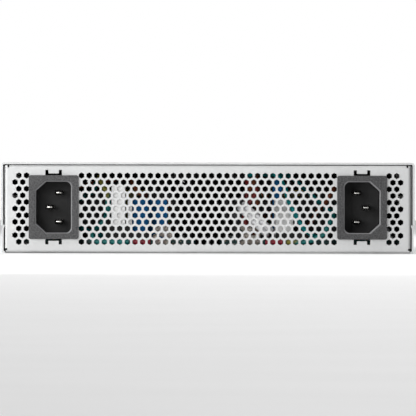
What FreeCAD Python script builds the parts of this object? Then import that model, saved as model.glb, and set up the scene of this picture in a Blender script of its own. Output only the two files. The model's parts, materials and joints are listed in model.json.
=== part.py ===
"""Half-width 1U rackmount network switch, modelled as the pieces it is assembled from.

Millimetres.  The port side (front) faces -Y, the power inlets (rear) face +Y, +Z is up.
The origin is the centre of the bottom of the overall box.
"""
import FreeCAD, Part
import math
import os

Vec = FreeCAD.Vector
X_AXIS = Vec(1, 0, 0)
Y_AXIS = Vec(0, 1, 0)
Z_AXIS = Vec(0, 0, 1)
SIDES = (-1, 1)

# ---- overall size ---------------------------------------------------------------------
WIDTH = 200.0                     # half of a 19-inch rack's opening
HEIGHT = 43.8                     # one rack unit less its stacking gap
DEPTH = 508.0                     # from the port noses to the inlet flanges

# ---- folded sheet metal ---------------------------------------------------------------
SHEET = 0.8                       # base, front and rear panels, brackets
COVER_SHEET = 1.0
BEND = 0.5                        # inside radius of every fold
INLET_PROUD = 2.0                 # inlet flange in front of the rear panel
NOSE_PROUD = 1.0                  # port cages in front of the front panel
REAR_FACE = DEPTH / 2 - INLET_PROUD
FRONT_FACE = -DEPTH / 2 + NOSE_PROUD
COVER_LIP = 13.2                  # lower edge of the cover's sides
WALL_UPPER = WIDTH / 2 - COVER_SHEET - 0.05     # base wall's outer face under the cover
WALL_LOWER = WALL_UPPER + 0.5                   # and below it, where it is joggled out
WALL_TOP = 42.2
JOGGLE_TOP = COVER_LIP - 0.3
PAN_HALF = WALL_UPPER - SHEET - 0.05            # half the width of both end panels
PAN_TOP = 42.55
PAN_FLANGE = 12.0
PAN_SIDE_LOW = 2.2                # lower end of an end panel's side flanges
PAN_SIDE_HIGH = PAN_TOP - 0.25
PAN_SLOT = 0.8                    # slot between the upper flange and a side flange
PAN_FOOT = 97.5                   # half the width of the lower flange
BASE_BEND, COVER_BEND = 0.3, 0.6
BASE_END = REAR_FACE - 0.4        # ends of the base and the cover, just inside the panels
BASE_FRONT = FRONT_FACE + 0.4

# ---- hexagonal perforation ------------------------------------------------------------
HEX_FLATS = 2.6
HEX_PITCH = 3.70
HEX_ROW = HEX_PITCH * math.sqrt(3) / 2
HEX_ROWS = 11
HEX_MID = 21.35                   # height of the middle row
HEX_COLUMNS = 34                  # in the wider rows between the inlets
HEX_SIDE = 87.6                   # first hole outboard of each inlet

# ---- power inlets ---------------------------------------------------------------------
INLET_X = 74.5
INLET_Z = 22.1
FLANGE_W, FLANGE_H = 24.0, 30.8
BODY_W, BODY_H, BODY_DEEP = 20.4, 27.4, 22.0
RECESS_W, RECESS_H, RECESS_DEEP = 16.8, 24.5, 17.0
RECESS_CHAMFER_W, RECESS_CHAMFER_H = 4.9, 4.4
RECESS_R = 2.6
RIM = 0.6                         # bevel around the mouth of the recess
PIN_W, PIN_T = 4.0, 2.0
PIN_SPACING = 14.0                # line to neutral
LINE_INBOARD = 2.46
EARTH_OUTBOARD = 1.93
PIN_TIP = 4.5                     # pin tips below the flange face
PIN_NOSE = 1.5                    # length of the bevelled tip
PIN_TIP_W, PIN_TIP_T = 2.4, 0.45
NOTCH_W, NOTCH_H = 8.0, 2.6       # snap-tab notches above and below each inlet
TAB_W, TAB_GAP = 5.0, 0.85

# ---- boards ---------------------------------------------------------------------------
BOARD = 1.6
MAIN_TOP = 8.8
MAIN_X, MAIN_Y0, MAIN_Y1 = 94.0, -249.0, 48.0
PSU_TOP = 6.2
PSU_Y0, PSU_Y1, PSU_STEP = 94.0, 246.0, 206.0
PSU_X0, PSU_X1, PSU_NECK = 6.0, 95.0, 59.0

# ---- power supply parts: centre x, width, y from, y to, z from, z to ------------------
FILM_CAPACITORS = [(32.7, 7.7, 232.0, 242.0, PSU_TOP, 26.0),
                   (22.3, 5.5, 232.0, 242.0, PSU_TOP, 26.0),
                   (27.0, 4.0, 222.0, 229.0, PSU_TOP, 26.0),
                   (-33.8, 4.6, 222.0, 228.0, PSU_TOP, 36.0),
                   (80.0, 10.0, 150.0, 176.0, PSU_TOP, 24.2),
                   (-80.0, 10.0, 150.0, 176.0, PSU_TOP, 24.2)]
RELAYS = [(43.25, 6.5, 236.0, 250.4, 13.3, 32.4),      # hooded over the terminals
          (-37.0, 8.4, 236.0, 245.9, 10.5, 19.6)]
RELAY_FOOT = 243.0                # the hooded part starts here
SCREENS = [(37.7, 1.9, 243.4, 249.0, 13.3, 26.5),
           (-35.6, 6.6, 229.0, 235.5, PSU_TOP, 25.8)]
TERMINALS = [(43.0, 13.0, 243.2, 245.8, PSU_TOP, 13.2),
             (32.5, 8.0, 243.2, 245.8, PSU_TOP, 10.4),
             (-41.0, 16.0, 243.2, 245.8, PSU_TOP, 10.4)]
STANDING_CHOKES = [(Vec(-27.0, 212.0, 22.0), Y_AXIS, 6.4, 3.2),
                   (Vec(20.0, 212.0, 16.5), X_AXIS, 6.2, 3.0)]
CHOKE_POSTS = [(-27.0, 10.0, 208.6, 215.4, PSU_TOP, 12.3),
               (20.0, 6.0, 207.0, 217.0, PSU_TOP, 7.2)]
FLAT_CHOKE_X, FLAT_CHOKE_Y, FLAT_CHOKE_R, FLAT_CHOKE_WIRE = 78.0, 118.0, 9.0, 4.4
CANS_X, CAN_Y, CAN_R, CAN_LONG = (26.0, 54.0), 150.0, 12.5, 42.0
CORE_X, CORE_W, CORE_Y0, CORE_Y1, CORE_H, CORE_LEG = 40.0, 36.0, 108.0, 142.0, 29.0, 6.0
COIL_W, COIL_POST, COIL_H = 23.6, 8.0, 16.6
SINK_WALLS = [(9.0, 108.0, 192.0), (68.0, 136.0, 192.0)]
SINK_SHEET, SINK_TOP, SINK_LIP = 2.0, 38.0, 10.0
VARISTOR_X, VARISTOR_Y, VARISTOR_Z, VARISTOR_R, VARISTOR_LONG = 32.0, 247.6, 5.4, 1.4, 8.4
OUTPUT_Y0, OUTPUT_Y1, OUTPUT_W, OUTPUT_H = 95.0, 103.5, 26.0, 9.0

# ---- parts on the main board ----------------------------------------------------------
HEATSINK_Y0, HEATSINK_Y1 = -170.0, -74.0
HEATSINK_HALF = 48.0
HEATSINK_BASE = (MAIN_TOP + 3.0, MAIN_TOP + 7.0, 40.0)      # underside, fin roots, fin tops
HEATSINK_FINS = 25
HEATSINK_SCREW_X = 43.0
CHIP_BASE, CHIP_LID = 45.0, 36.0
MODULE_Z = MAIN_TOP + 8.0
MODULE_X, MODULE_W, MODULE_Y0, MODULE_Y1, MODULE_T = -52.0, 84.0, -42.0, 24.0, 1.2
MODULE_SINK = (-66.0, 44.0, -38.0, 10.0)
MEMORY_X, MEMORY_W, MEMORY_Y0, MEMORY_Y1, MEMORY_Z = -27.0, 30.0, -36.0, 12.0, MODULE_Z + 3.2
MEMORY_T = 1.1

# ---- ports ----------------------------------------------------------------------------
CAGE_SHEET = 0.5
CAGE_DEEP = 48.0
PORT_H = 9.2
CHANNEL_H = 4.4                   # light-pipe channel between two stacked ports
SFP_COLUMNS, SFP_PITCH, SFP_X = 8, 14.25, -1.5
QSFP_COLUMNS, QSFP_PITCH, QSFP_X = 2, 19.1, 76.6
JACK_X, JACK_W, JACK_H, JACK_DEEP = -86.5, 16.6, 29.0, 25.0
JACK_INNER, JACK_OUTER = 2.4, 9.4           # body well, from the middle of the pair
JACK_SLOT, JACK_NOTCH = 11.2, 12.4          # ends of the two steps of the latch slot
JACK_HALF, JACK_SLOT_HALF, JACK_NOTCH_HALF = 5.9, 3.2, 1.7
JACK_WELL = 14.5
USB_X, USB_W, USB_H, USB_DEEP = -69.0, 13.2, 5.8, 14.0
USB_SHEET, USB_R = 0.4, 0.7
USB_TONGUE_W, USB_TONGUE_BACK, USB_TONGUE_LOW, USB_TONGUE_HIGH = 11.0, 0.8, 2.6, 0.9
LED_X, LED_Z, LED_PITCH, LED_COUNT, LED_R = -66.0, 21.0, 4.2, 4, 1.0
RESET_X, RESET_Z = -73.0, 21.0
RESET_CAP_R, RESET_STEM_R, RESET_TRAVEL = 1.35, 0.9, 0.8

# ---- fans -----------------------------------------------------------------------------
FAN_SIZE, FAN_DEEP, FAN_PITCH, FAN_COUNT = 40.0, 28.0, 47.0, 4
FAN_BORE_R = 19.0
FAN_Y0 = 56.0
FAN_Z = 21.4
FAN_HUB_R = 9.5
FAN_TIP_R = 18.4
FAN_SCREW = 16.0                  # half the spacing of a fan's four screws
SHAFT_R = 1.0
BEARING_PLAY = 0.05
BLADES = 7
FAN_CORNER_R, FAN_WAIST = 3.0, 5.0          # shroud corner radius and corner flange thickness
FAN_HOLE_R, FAN_SEAT, FAN_STRUT = 1.9, 3.0, 2.2
BEARING_R, BEARING_Y = 2.6, 14.0            # bronze sleeve, measured from the inlet face
STATOR_Y, STATOR_LONG, STATOR_R = 15.0, 8.0, 3.6
POLE_LONG, POLE_W, SHOE_LONG, SHOE_W = 6.0, 3.0, 6.8, 5.2
POLE_R, SHOE_R, STATOR_TIP_R = 2.8, 6.0, 7.4
HUB_Y, HUB_LONG, HUB_END, HUB_INNER_R, HUB_BOSS_R = 4.0, 19.0, 2.0, 8.2, 2.4
BLADE_MID_R, BLADE_Y, BLADE_THICK = 14.0, 12.5, 0.9
BLADE_PITCHES = (52.0, 42.0, 34.0)          # degrees at the hub, half way and at the tip
BLADE_CHORD, BLADE_FLARE = 12.0, 0.25
BRACKET_HALF, BRACKET_LIP, BRACKET_FOOT = 96.0, 14.0, 10.0

# ---- wiring ---------------------------------------------------------------------------
LEAD_SPREAD = 1.5                 # half the spacing of bundled leads
LEAD_BEND = 4.0
LIVE_R, EARTH_R, PAIR_R, DC_R, SIGNAL_R = 1.1, 1.3, 1.45, 0.9, 1.0
# Corners of each lead's route, after the short straight run from its inlet tab.
LIVE_ROUTES = {1: [(60.0, 213.0, 33.0), (44.0, 216.0, 36.0), (37.5, 232.0, 35.5), (34.6, 243.5, 31.0),
                   (32.6, 244.5, 28.4), (30.6, 236.0, 28.6), (30.2, 230.2, 28.6), (30.2, 230.2, PSU_TOP)],
               -1: [(-64.0, 214.0, 33.0), (-62.3, 236.0, 33.0), (-61.0, 243.0, 31.0),
                    (-59.0, 246.5, 27.8), (-56.8, 243.0, 24.0), (-54.0, 230.0, 21.0),
                    (-46.5, 228.0, 9.0), (-46.5, 243.2, 9.0)]}
NEUTRAL_ROUTES = {1: [(62.0, 213.0, 12.0), (52.0, 220.0, 8.0), (48.0, 230.0, 8.0), (48.0, 243.2, 8.0)],
                  -1: [(-60.0, 208.0, 20.0), (-40.0, 206.0, 38.0), (-21.0, 214.0, 38.4),
                       (-19.8, 236.0, 37.6), (-24.5, 240.0, 40.3), (-30.0, 241.0, 40.0),
                       (-34.6, 242.5, 36.8), (-37.6, 244.5, 31.0), (-39.2, 247.2, 24.8),
                       (-42.7, 247.3, 18.1), (-46.6, 247.3, 11.4), (-50.8, 247.0, 8.6),
                       (-51.6, 244.6, 8.4), (-49.0, 244.6, 8.4)]}
EARTH_ROUTES = {1: [(66.0, 208.0, 24.0), (56.0, 224.0, 30.0), (52.8, 233.0, 37.0), (51.8, 240.0, 34.8),
                    (48.4, 245.5, 27.6), (48.2, 245.5, 20.5), (50.5, 236.0, 15.0), (54.5, 240.0, 11.6),
                    (56.8, 248.6, 8.6), (55.0, 248.6, 5.5), (38.3, 248.6, 5.5)],
                -1: [(-66.0, 214.0, 24.0), (-61.8, 227.0, 22.4), (-61.6, 236.0, 20.5), (-60.8, 246.0, 17.6),
                     (-58.8, 247.6, 14.4), (-55.5, 248.4, 9.0), (-50.5, 248.6, 6.2),
                     (-46.0, 248.6, 5.5), (-38.0, 248.6, 5.4)]}
PAIR_FACE_Y = 248.6               # where the pair runs just inside the rear panel
PAIR_ROUTE = [(-14.8, 226.0, PSU_TOP), (-14.8, 226.0, 25.0), (-14.8, 236.0, 25.0),
              (-17.0, PAIR_FACE_Y, 22.2), (-29.6, PAIR_FACE_Y, 10.0),
              (-29.6, 238.0, 10.0), (-29.6, 238.0, PSU_TOP)]
PAIR_DX, PAIR_DY, PAIR_DZ = 1.03, 1.15, -1.04      # half the offset between the two
SIGNAL_RED = [(-19.0, 222.6, PSU_TOP), (-19.0, 222.6, 35.0), (-18.2, 240.0, 35.2), (-23.8, 243.0, 31.0),
              (-22.6, 243.6, 27.8), (-20.3, 244.0, 24.6), (-17.0, 241.6, 19.0),
              (-18.4, 246.6, 14.8), (-18.6, 241.0, 10.0), (-18.6, 241.0, PSU_TOP)]
SIGNAL_BROWN = [(-24.4, 224.0, PSU_TOP), (-24.4, 224.0, 38.2), (-23.9, 240.0, 37.0), (-21.8, 245.5, 34.0),
                (-19.6, 241.5, 30.0), (-24.2, 240.6, 24.6), (-23.5, 240.6, 20.0),
                (-22.5, 236.5, 16.0), (-22.5, 236.5, PSU_TOP)]

# ---- fasteners ------------------------------------------------------------------------
SCREW_R = 1.5                     # M3
SCREW_HEAD_R = 2.8
RIVET_R = 1.6
RAIL_TAP_R = 1.65                 # M4 tapping size
RAIL_CLEAR_R = 2.25
RAIL_Y, RAIL_Z = -176.0, 26.0     # centre of the rack-ear screw pattern
RAIL_PITCH_Y, RAIL_PITCH_Z = 38.0, 16.0
REAR_RAIL_Y, REAR_RAIL_PITCH = 170.0, 60.0
COVER_SCREWS_Y = (-236.0, -80.0, 80.0, 236.0)
COVER_SCREW_Z = 37.4


# ======================================================================================
# Geometry helpers
# ======================================================================================
def box(x0, x1, y0, y1, z0, z1):
    return Part.makeBox(x1 - x0, y1 - y0, z1 - z0, Vec(x0, y0, z0))


def block(centre_x, width, y0, y1, z0, z1):
    return box(centre_x - width / 2, centre_x + width / 2, y0, y1, z0, z1)


def rod(start, radius, length, axis):
    return Part.makeCylinder(radius, length, start, axis)


def at_x(points, x):
    return [Vec(x, y, z) for y, z in points]


def at_y(points, y):
    return [Vec(x, y, z) for x, z in points]


def at_z(points, z):
    return [Vec(x, y, z) for x, y in points]


def unit(vector):
    return Vec(vector).normalize()


def rounded_wire(points, radii, closed=True):
    """Straight runs through the points, with a tangent arc of the given radius at each."""
    count = len(points)
    corners = []
    for i, point in enumerate(points):
        if radii[i] == 0 or (not closed and i in (0, count - 1)):
            corners.append((point, None, point))
            continue
        back = unit(points[i - 1] - point)
        ahead = unit(points[(i + 1) % count] - point)
        half = back.getAngle(ahead) / 2
        reach = radii[i] / math.tan(half)
        inward = unit(back + ahead)
        middle = point + inward * (radii[i] / math.sin(half) - radii[i])
        corners.append((point + back * reach, middle, point + ahead * reach))
    edges = []
    for i, (start, middle, end) in enumerate(corners):
        if middle is not None:
            edges.append(Part.Arc(start, middle, end).toShape())
        if closed or i < count - 1:
            following = corners[(i + 1) % count][0]
            if end.distanceToPoint(following) > 1e-6:
                edges.append(Part.makeLine(end, following))
    return Part.Wire(edges)


def solid_from(outline, travel, openings=()):
    """Prism of a closed wire, with prismatic openings."""
    face = Part.Face([outline] + list(openings))
    return face.extrude(travel)


def rectangle(x0, x1, z0, z1, radius=0.0):
    return [(x0, z0), (x1, z0), (x1, z1), (x0, z1)], [radius] * 4


def rectangle_wire(y, x0, x1, z0, z1, radius=0.0):
    points, radii = rectangle(x0, x1, z0, z1, radius)
    return rounded_wire(at_y(points, y), radii)


def folded_outline(path, sheet, bend):
    """Outline of a folded sheet whose outer face follows the path, metal on its left."""
    headings = [((b[0] - a[0]), (b[1] - a[1])) for a, b in zip(path, path[1:])]
    headings = [(h[0] / math.hypot(*h), h[1] / math.hypot(*h)) for h in headings]
    inner, outer_radii, inner_radii = [], [], []
    for i, (x, z) in enumerate(path):
        before = headings[max(i - 1, 0)]
        after = headings[min(i, len(headings) - 1)]
        mitre = (-(before[1] + after[1]), before[0] + after[0])
        scale = sheet / (1 + before[0] * after[0] + before[1] * after[1])
        inner.append((x + mitre[0] * scale, z + mitre[1] * scale))
        turn = before[0] * after[1] - before[1] * after[0]
        if abs(turn) < 1e-9:
            outer_radii.append(0.0)
            inner_radii.append(0.0)
        else:
            outer_radii.append(bend + sheet if turn > 0 else bend)
            inner_radii.append(bend if turn > 0 else bend + sheet)
    return path + inner[::-1], outer_radii + inner_radii[::-1]


def tube(points, radius, bend):
    """Round wire along straight runs joined by tangent arcs."""
    points = [Vec(*p) for p in points]
    radii = [0.0] * len(points)
    for i in range(1, len(points) - 1):
        back, ahead = points[i - 1] - points[i], points[i + 1] - points[i]
        room = 0.45 * min(back.Length, ahead.Length) * math.tan(back.getAngle(ahead) / 2)
        radii[i] = min(bend, room)
    path = rounded_wire(points, radii, closed=False)
    section = Part.Wire(Part.makeCircle(radius, points[0], points[1] - points[0]))
    return path.makePipeShell([section], True, False)


def fuse(shapes):
    shapes = list(shapes)
    return shapes[0].multiFuse(shapes[1:]).removeSplitter() if len(shapes) > 1 else shapes[0]


def cut(shape, tools):
    return shape.cut(Part.makeCompound(list(tools)))


def save(name, *solids):
    """Write one sub-part; several solids are identical or matching pieces of one kind."""
    pieces = []
    for shape in solids:
        pieces.extend(shape.Solids)
    shape = pieces[0] if len(pieces) == 1 else Part.makeCompound(pieces)
    shape.exportStep("parts/" + name + ".step")


# ======================================================================================
# Repeated positions
# ======================================================================================
def rail_holes():
    """(side, y, z) of every rack-rail screw."""
    for side in SIDES:
        for dy in (-RAIL_PITCH_Y / 2, RAIL_PITCH_Y / 2):
            for dz in (-RAIL_PITCH_Z / 2, RAIL_PITCH_Z / 2):
                yield side, RAIL_Y + dy, RAIL_Z + dz
        for dy in (-REAR_RAIL_PITCH / 2, REAR_RAIL_PITCH / 2):
            yield side, REAR_RAIL_Y + dy, RAIL_Z


def cover_side_screws():
    for side in SIDES:
        for y in COVER_SCREWS_Y:
            yield side, y, COVER_SCREW_Z


COVER_TOP_SCREWS = [(x, FAN_Y0 + FAN_DEEP + 8.0) for x in (-80.0, 0.0, 80.0)]
FLOOR_RIVETS = [(x, end) for x in (-66.0, 0.0, 66.0)
                for end in (REAR_FACE - 7.0, FRONT_FACE + 7.0)]
WALL_RIVETS = [(side, end, z) for side in SIDES for z in (19.0, 31.0)
               for end in (REAR_FACE - 9.0, FRONT_FACE + 9.0)]
MAIN_SCREWS = [(x, y) for x in (-88.0, 0.0, 88.0) for y in (-196.0, -60.0, 40.0)]
PSU_SCREWS = [(side * x, y) for side in SIDES
              for x, y in ((12.0, 99.0), (90.0, 99.0), (12.0, 199.0), (90.0, 199.0), (13.0, 219.0))]
FAN_CENTRES = [(i - (FAN_COUNT - 1) / 2) * FAN_PITCH for i in range(FAN_COUNT)]


def hexagon(x, z, y, flats=HEX_FLATS):
    """Hexagon with a corner up and a corner down."""
    radius = flats / math.sqrt(3)
    angles = [math.radians(30 + 60 * i) for i in range(6)]
    points = [Vec(x + radius * math.cos(a), y, z + radius * math.sin(a)) for a in angles]
    return Part.makePolygon(points + points[:1])


def rear_hole_centres():
    """Staggered rows between the inlets, and two columns outboard of each inlet."""
    for row in range(HEX_ROWS):
        z = HEX_MID + (row - (HEX_ROWS - 1) / 2) * HEX_ROW
        shifted = row % 2
        columns = HEX_COLUMNS - shifted
        for column in range(columns):
            yield (column - (columns - 1) / 2) * HEX_PITCH, z
        for side in SIDES:
            for column in range(2):
                yield side * (HEX_SIDE + (column + shifted / 2) * HEX_PITCH), z


# ======================================================================================
# Enclosure
# ======================================================================================
def end_panel(face, inward, openings):
    """Shallow folded pan: a flat face and four flanges, with open corners."""
    outer = BEND + SHEET
    flat_x = PAN_HALF - outer
    flat_z0, flat_z1 = outer, PAN_TOP - outer
    plate = solid_from(rectangle_wire(face, -flat_x, flat_x, flat_z0, flat_z1),
                       Vec(0, inward * SHEET, 0), openings(face))
    flange_end = face + inward * PAN_FLANGE

    def flange(path, backwards, to_3d, travel):
        points, radii = folded_outline(path[::-1] if backwards else path, SHEET, BEND)
        return solid_from(rounded_wire(to_3d(points), radii), travel)

    pieces = [plate]
    for side in SIDES:
        path = [(side * flat_x, face), (side * PAN_HALF, face), (side * PAN_HALF, flange_end)]
        pieces.append(flange(path, side * inward < 0, lambda p: at_z(p, PAN_SIDE_LOW),
                             Z_AXIS * (PAN_SIDE_HIGH - PAN_SIDE_LOW)))
    for z_flat, z_fold, half in ((flat_z0, 0.0, PAN_FOOT), (flat_z1, PAN_TOP, flat_x - PAN_SLOT)):
        path = [(face, z_flat), (face, z_fold), (flange_end, z_fold)]
        pieces.append(flange(path, (z_fold > z_flat) == (inward > 0), lambda p: at_x(p, -half),
                             X_AXIS * (2 * half)))
    return fuse(pieces)


def inlet_cutout(x, face):
    """Inlet hole with a snap tab in a notch above it and below it."""
    half_w, half_h = BODY_W / 2 + 0.1, BODY_H / 2 + 0.1
    notch = FLANGE_H / 2 + NOTCH_H
    tab_tip = FLANGE_H / 2 + TAB_GAP
    upper = [(half_w, half_h), (NOTCH_W / 2, half_h), (NOTCH_W / 2, notch), (TAB_W / 2, notch),
             (TAB_W / 2, tab_tip), (-TAB_W / 2, tab_tip), (-TAB_W / 2, notch),
             (-NOTCH_W / 2, notch), (-NOTCH_W / 2, half_h), (-half_w, half_h)]
    points = upper + [(-u, -v) for u, v in upper]
    return rounded_wire(at_y([(x + u, INLET_Z + v) for u, v in points], face), [0.0] * 20)


def rear_openings(face):
    holes = [hexagon(x, z, face) for x, z in rear_hole_centres()]
    return holes + [inlet_cutout(side * INLET_X, face) for side in SIDES]


def front_openings(face):
    gap = 0.3
    half_sfp = cage_width(SFP_COLUMNS, SFP_PITCH) / 2 + gap
    half_qsfp = cage_width(QSFP_COLUMNS, QSFP_PITCH) / 2 + gap
    z0, z1 = MAIN_TOP - gap, cage_top() + gap
    yield rectangle_wire(face, SFP_X - half_sfp, SFP_X + half_sfp, z0, z1, 0.6)
    yield rectangle_wire(face, QSFP_X - half_qsfp, QSFP_X + half_qsfp, z0, z1, 0.6)
    yield rectangle_wire(face, JACK_X - JACK_W / 2 - gap, JACK_X + JACK_W / 2 + gap,
                         MAIN_TOP - gap, MAIN_TOP + JACK_H + gap, 0.6)
    yield rectangle_wire(face, USB_X - USB_W / 2 - gap, USB_X + USB_W / 2 + gap,
                         MAIN_TOP - gap, MAIN_TOP + USB_H + gap, 0.6)
    yield Part.Wire(Part.makeCircle(RESET_CAP_R + 0.25, Vec(RESET_X, face, RESET_Z), Y_AXIS))
    for i in range(LED_COUNT):
        centre = Vec(LED_X, face, LED_Z + i * LED_PITCH)
        yield Part.Wire(Part.makeCircle(LED_R, centre, Y_AXIS))
    vent_end = 90.0
    columns = int(2 * vent_end / HEX_PITCH)
    for column in range(columns):
        x = (column - (columns - 1) / 2) * HEX_PITCH
        yield hexagon(x, 5.2, face)
        if x > JACK_X + JACK_W / 2 + 2:
            yield hexagon(x, 37.0, face)


def chassis_base():
    path = [(-WALL_UPPER, WALL_TOP), (-WALL_UPPER, JOGGLE_TOP),
            (-WALL_LOWER, JOGGLE_TOP - 0.8), (-WALL_LOWER, 0.0)]
    path += [(-x, z) for x, z in reversed(path)]
    points, radii = folded_outline(path, SHEET, BASE_BEND)
    shell = solid_from(rounded_wire(at_y(points, BASE_FRONT), radii),
                       Vec(0, BASE_END - BASE_FRONT, 0))
    tools = []
    lap_half = PAN_HALF - BEND - SHEET
    laps = []
    for face, inward in ((REAR_FACE, -1), (FRONT_FACE, 1)):
        edge = face + inward * (PAN_FLANGE + 0.2)
        foot = PAN_FOOT + 0.3
        tools.append(box(-foot, foot, min(edge, face), max(edge, face), -1, SHEET))
        lap_ends = sorted((face + inward * (PAN_FLANGE + 8.0), face + inward * 2.0))
        laps.append(box(-lap_half + 1, lap_half - 1, lap_ends[0], lap_ends[1], SHEET, 2 * SHEET))
        set_back = sorted((face, face + inward * 6.0))
        for side in SIDES:
            wall = sorted((side * 96.0, side * 99.8))
            tools.append(box(wall[0], wall[1], set_back[0], set_back[1], COVER_LIP + 0.4, 50.0))
    for side, y, z in rail_holes():
        tools.append(rod(Vec(side * 90.0, y, z), RAIL_TAP_R, 20.0, X_AXIS * side))
    for side, y, z in cover_side_screws():
        tools.append(rod(Vec(side * 90.0, y, z), SCREW_R, 20.0, X_AXIS * side))
    for side, y, z in WALL_RIVETS:
        tools.append(rod(Vec(side * 90.0, y, z), RIVET_R, 20.0, X_AXIS * side))
    shell = fuse([cut(shell, tools)] + laps)
    floor_tools = [rod(Vec(x, y, -1), RIVET_R, 5.0, Z_AXIS) for x, y in FLOOR_RIVETS]
    floor_tools += [rod(Vec(x, y, -1), SCREW_R + 0.6, 5.0, Z_AXIS) for x, y in MAIN_SCREWS + PSU_SCREWS]
    return cut(shell, floor_tools)


def top_cover():
    half = WIDTH / 2
    path = [(half, COVER_LIP), (half, HEIGHT), (-half, HEIGHT), (-half, COVER_LIP)]
    points, radii = folded_outline(path, COVER_SHEET, COVER_BEND)
    shell = solid_from(rounded_wire(at_y(points, BASE_FRONT), radii),
                       Vec(0, BASE_END - BASE_FRONT, 0))
    tools = []
    for side, y, z in rail_holes():
        tools.append(rod(Vec(side * 90.0, y, z), RAIL_CLEAR_R, 20.0, X_AXIS * side))
    for side, y, z in cover_side_screws():
        tools.append(head_cone(Vec(side * half, y, z), X_AXIS * -side))
    for x, y in COVER_TOP_SCREWS:
        tools.append(head_cone(Vec(x, y, HEIGHT), Z_AXIS * -1))
    return cut(shell, tools)


def head_cone(outside, inward):
    """Low countersunk head, as deep as the cover sheet is thick."""
    return Part.makeCone(SCREW_HEAD_R, SCREW_R, COVER_SHEET, outside, inward)


def countersunk_screw(outside, inward, length):
    """Cross-recess screw whose head is flush with the cover."""
    shank = rod(outside, SCREW_R, length, inward)
    screw = head_cone(outside, inward).fuse(shank).removeSplitter()
    slots = []
    across = Z_AXIS if abs(inward.z) < 0.5 else X_AXIS
    for turn in (45.0, 135.0):
        slot = box(-1.7, 1.7, -0.3, 0.3, -0.1, 0.7)
        slot.Placement = FreeCAD.Placement(outside, FreeCAD.Rotation(across, inward.cross(across), inward))
        slot.rotate(outside, inward, turn)
        slots.append(slot)
    return cut(screw, slots)


def cover_screws():
    half = WIDTH / 2
    for side, y, z in cover_side_screws():
        yield countersunk_screw(Vec(side * half, y, z), X_AXIS * -side, 5.0)
    for x, y in COVER_TOP_SCREWS:
        yield countersunk_screw(Vec(x, y, HEIGHT), Z_AXIS * -1, 4.5)


def press_nut(face, inward, hole_r, flats=6.0, thick=2.6):
    """Hexagonal nut pressed on the inside of a wall."""
    radius = flats / math.sqrt(3)
    side_way = Z_AXIS if abs(inward.z) < 0.5 else X_AXIS
    other = inward.cross(side_way)
    ring = []
    for i in range(7):
        angle = math.radians(60 * i)
        ring.append(face + side_way * (radius * math.cos(angle)) + other * (radius * math.sin(angle)))
    hole = Part.Wire(Part.makeCircle(hole_r, face, inward))
    return solid_from(Part.makePolygon(ring), inward * thick, [hole])


def cover_nuts():
    inner = WALL_UPPER - SHEET
    for side, y, z in cover_side_screws():
        behind_pan = 0.05 + SHEET if abs(y) > 240.0 else 0.0
        yield press_nut(Vec(side * (inner - behind_pan), y, z), X_AXIS * -side, SCREW_R)


def rail_nuts():
    for side, y, z in rail_holes():
        yield press_nut(Vec(side * (WALL_UPPER - SHEET), y, z), X_AXIS * -side, RAIL_TAP_R, 7.0, 3.0)


def rivet(outside, inward, grip):
    """Flush shank with a round inner head."""
    shank = rod(outside, RIVET_R, grip, inward)
    head = rod(outside + inward * grip, RIVET_R + 1.0, 0.6, inward)
    return shank.fuse(head).removeSplitter()


def panel_rivets():
    for side, y, z in WALL_RIVETS:
        yield rivet(Vec(side * WALL_UPPER, y, z), X_AXIS * -side, 2 * SHEET + 0.05)
    for x, y in FLOOR_RIVETS:
        yield rivet(Vec(x, y, 0), Z_AXIS, 2 * SHEET)


def drilled_panel(panel):
    tools = [rod(Vec(side * 90.0, y, z), RIVET_R, 20.0, X_AXIS * side) for side, y, z in WALL_RIVETS]
    tools += [rod(Vec(x, y, -1), RIVET_R, 5.0, Z_AXIS) for x, y in FLOOR_RIVETS]
    return cut(panel, tools)


# ======================================================================================
# Power inlets
# ======================================================================================
def recess_wire(y, grow=0.0):
    """Keyed outline: two chamfered corners outboard (+x), two rounded corners inboard."""
    w, h = RECESS_W / 2 + grow, RECESS_H / 2 + grow
    points = [(-w, -h), (w - RECESS_CHAMFER_W, -h), (w, -h + RECESS_CHAMFER_H),
              (w, h - RECESS_CHAMFER_H), (w - RECESS_CHAMFER_W, h), (-w, h)]
    return rounded_wire(at_y(points, y), [RECESS_R, 0.6, 0.6, 0.6, 0.6, RECESS_R])


def pin_places():
    """(x, z, is_earth) of the three pins, from the recess centre."""
    yield -LINE_INBOARD, PIN_SPACING / 2, False
    yield -LINE_INBOARD, -PIN_SPACING / 2, False
    yield EARTH_OUTBOARD, 0.0, True


def inlet_pin(x, z, is_earth):
    """Flat blade with a bevelled tip, and a crimp tab behind the housing."""
    tip = REAR_FACE + INLET_PROUD - PIN_TIP + (1.5 if is_earth else 0.0)
    back = REAR_FACE - BODY_DEEP
    root = tip - PIN_NOSE
    blade = block(x, PIN_W, back, root, z - PIN_T / 2, z + PIN_T / 2)
    low = rectangle_wire(root, x - PIN_W / 2, x + PIN_W / 2, z - PIN_T / 2, z + PIN_T / 2)
    top = rectangle_wire(tip, x - PIN_TIP_W / 2, x + PIN_TIP_W / 2, z - PIN_TIP_T / 2, z + PIN_TIP_T / 2)
    nose = Part.makeLoft([low, top], True, True)
    tab = block(x, 6.3, back - 8.0, back, z - 0.4, z + 0.4)
    return fuse([blade, nose, tab])


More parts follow.
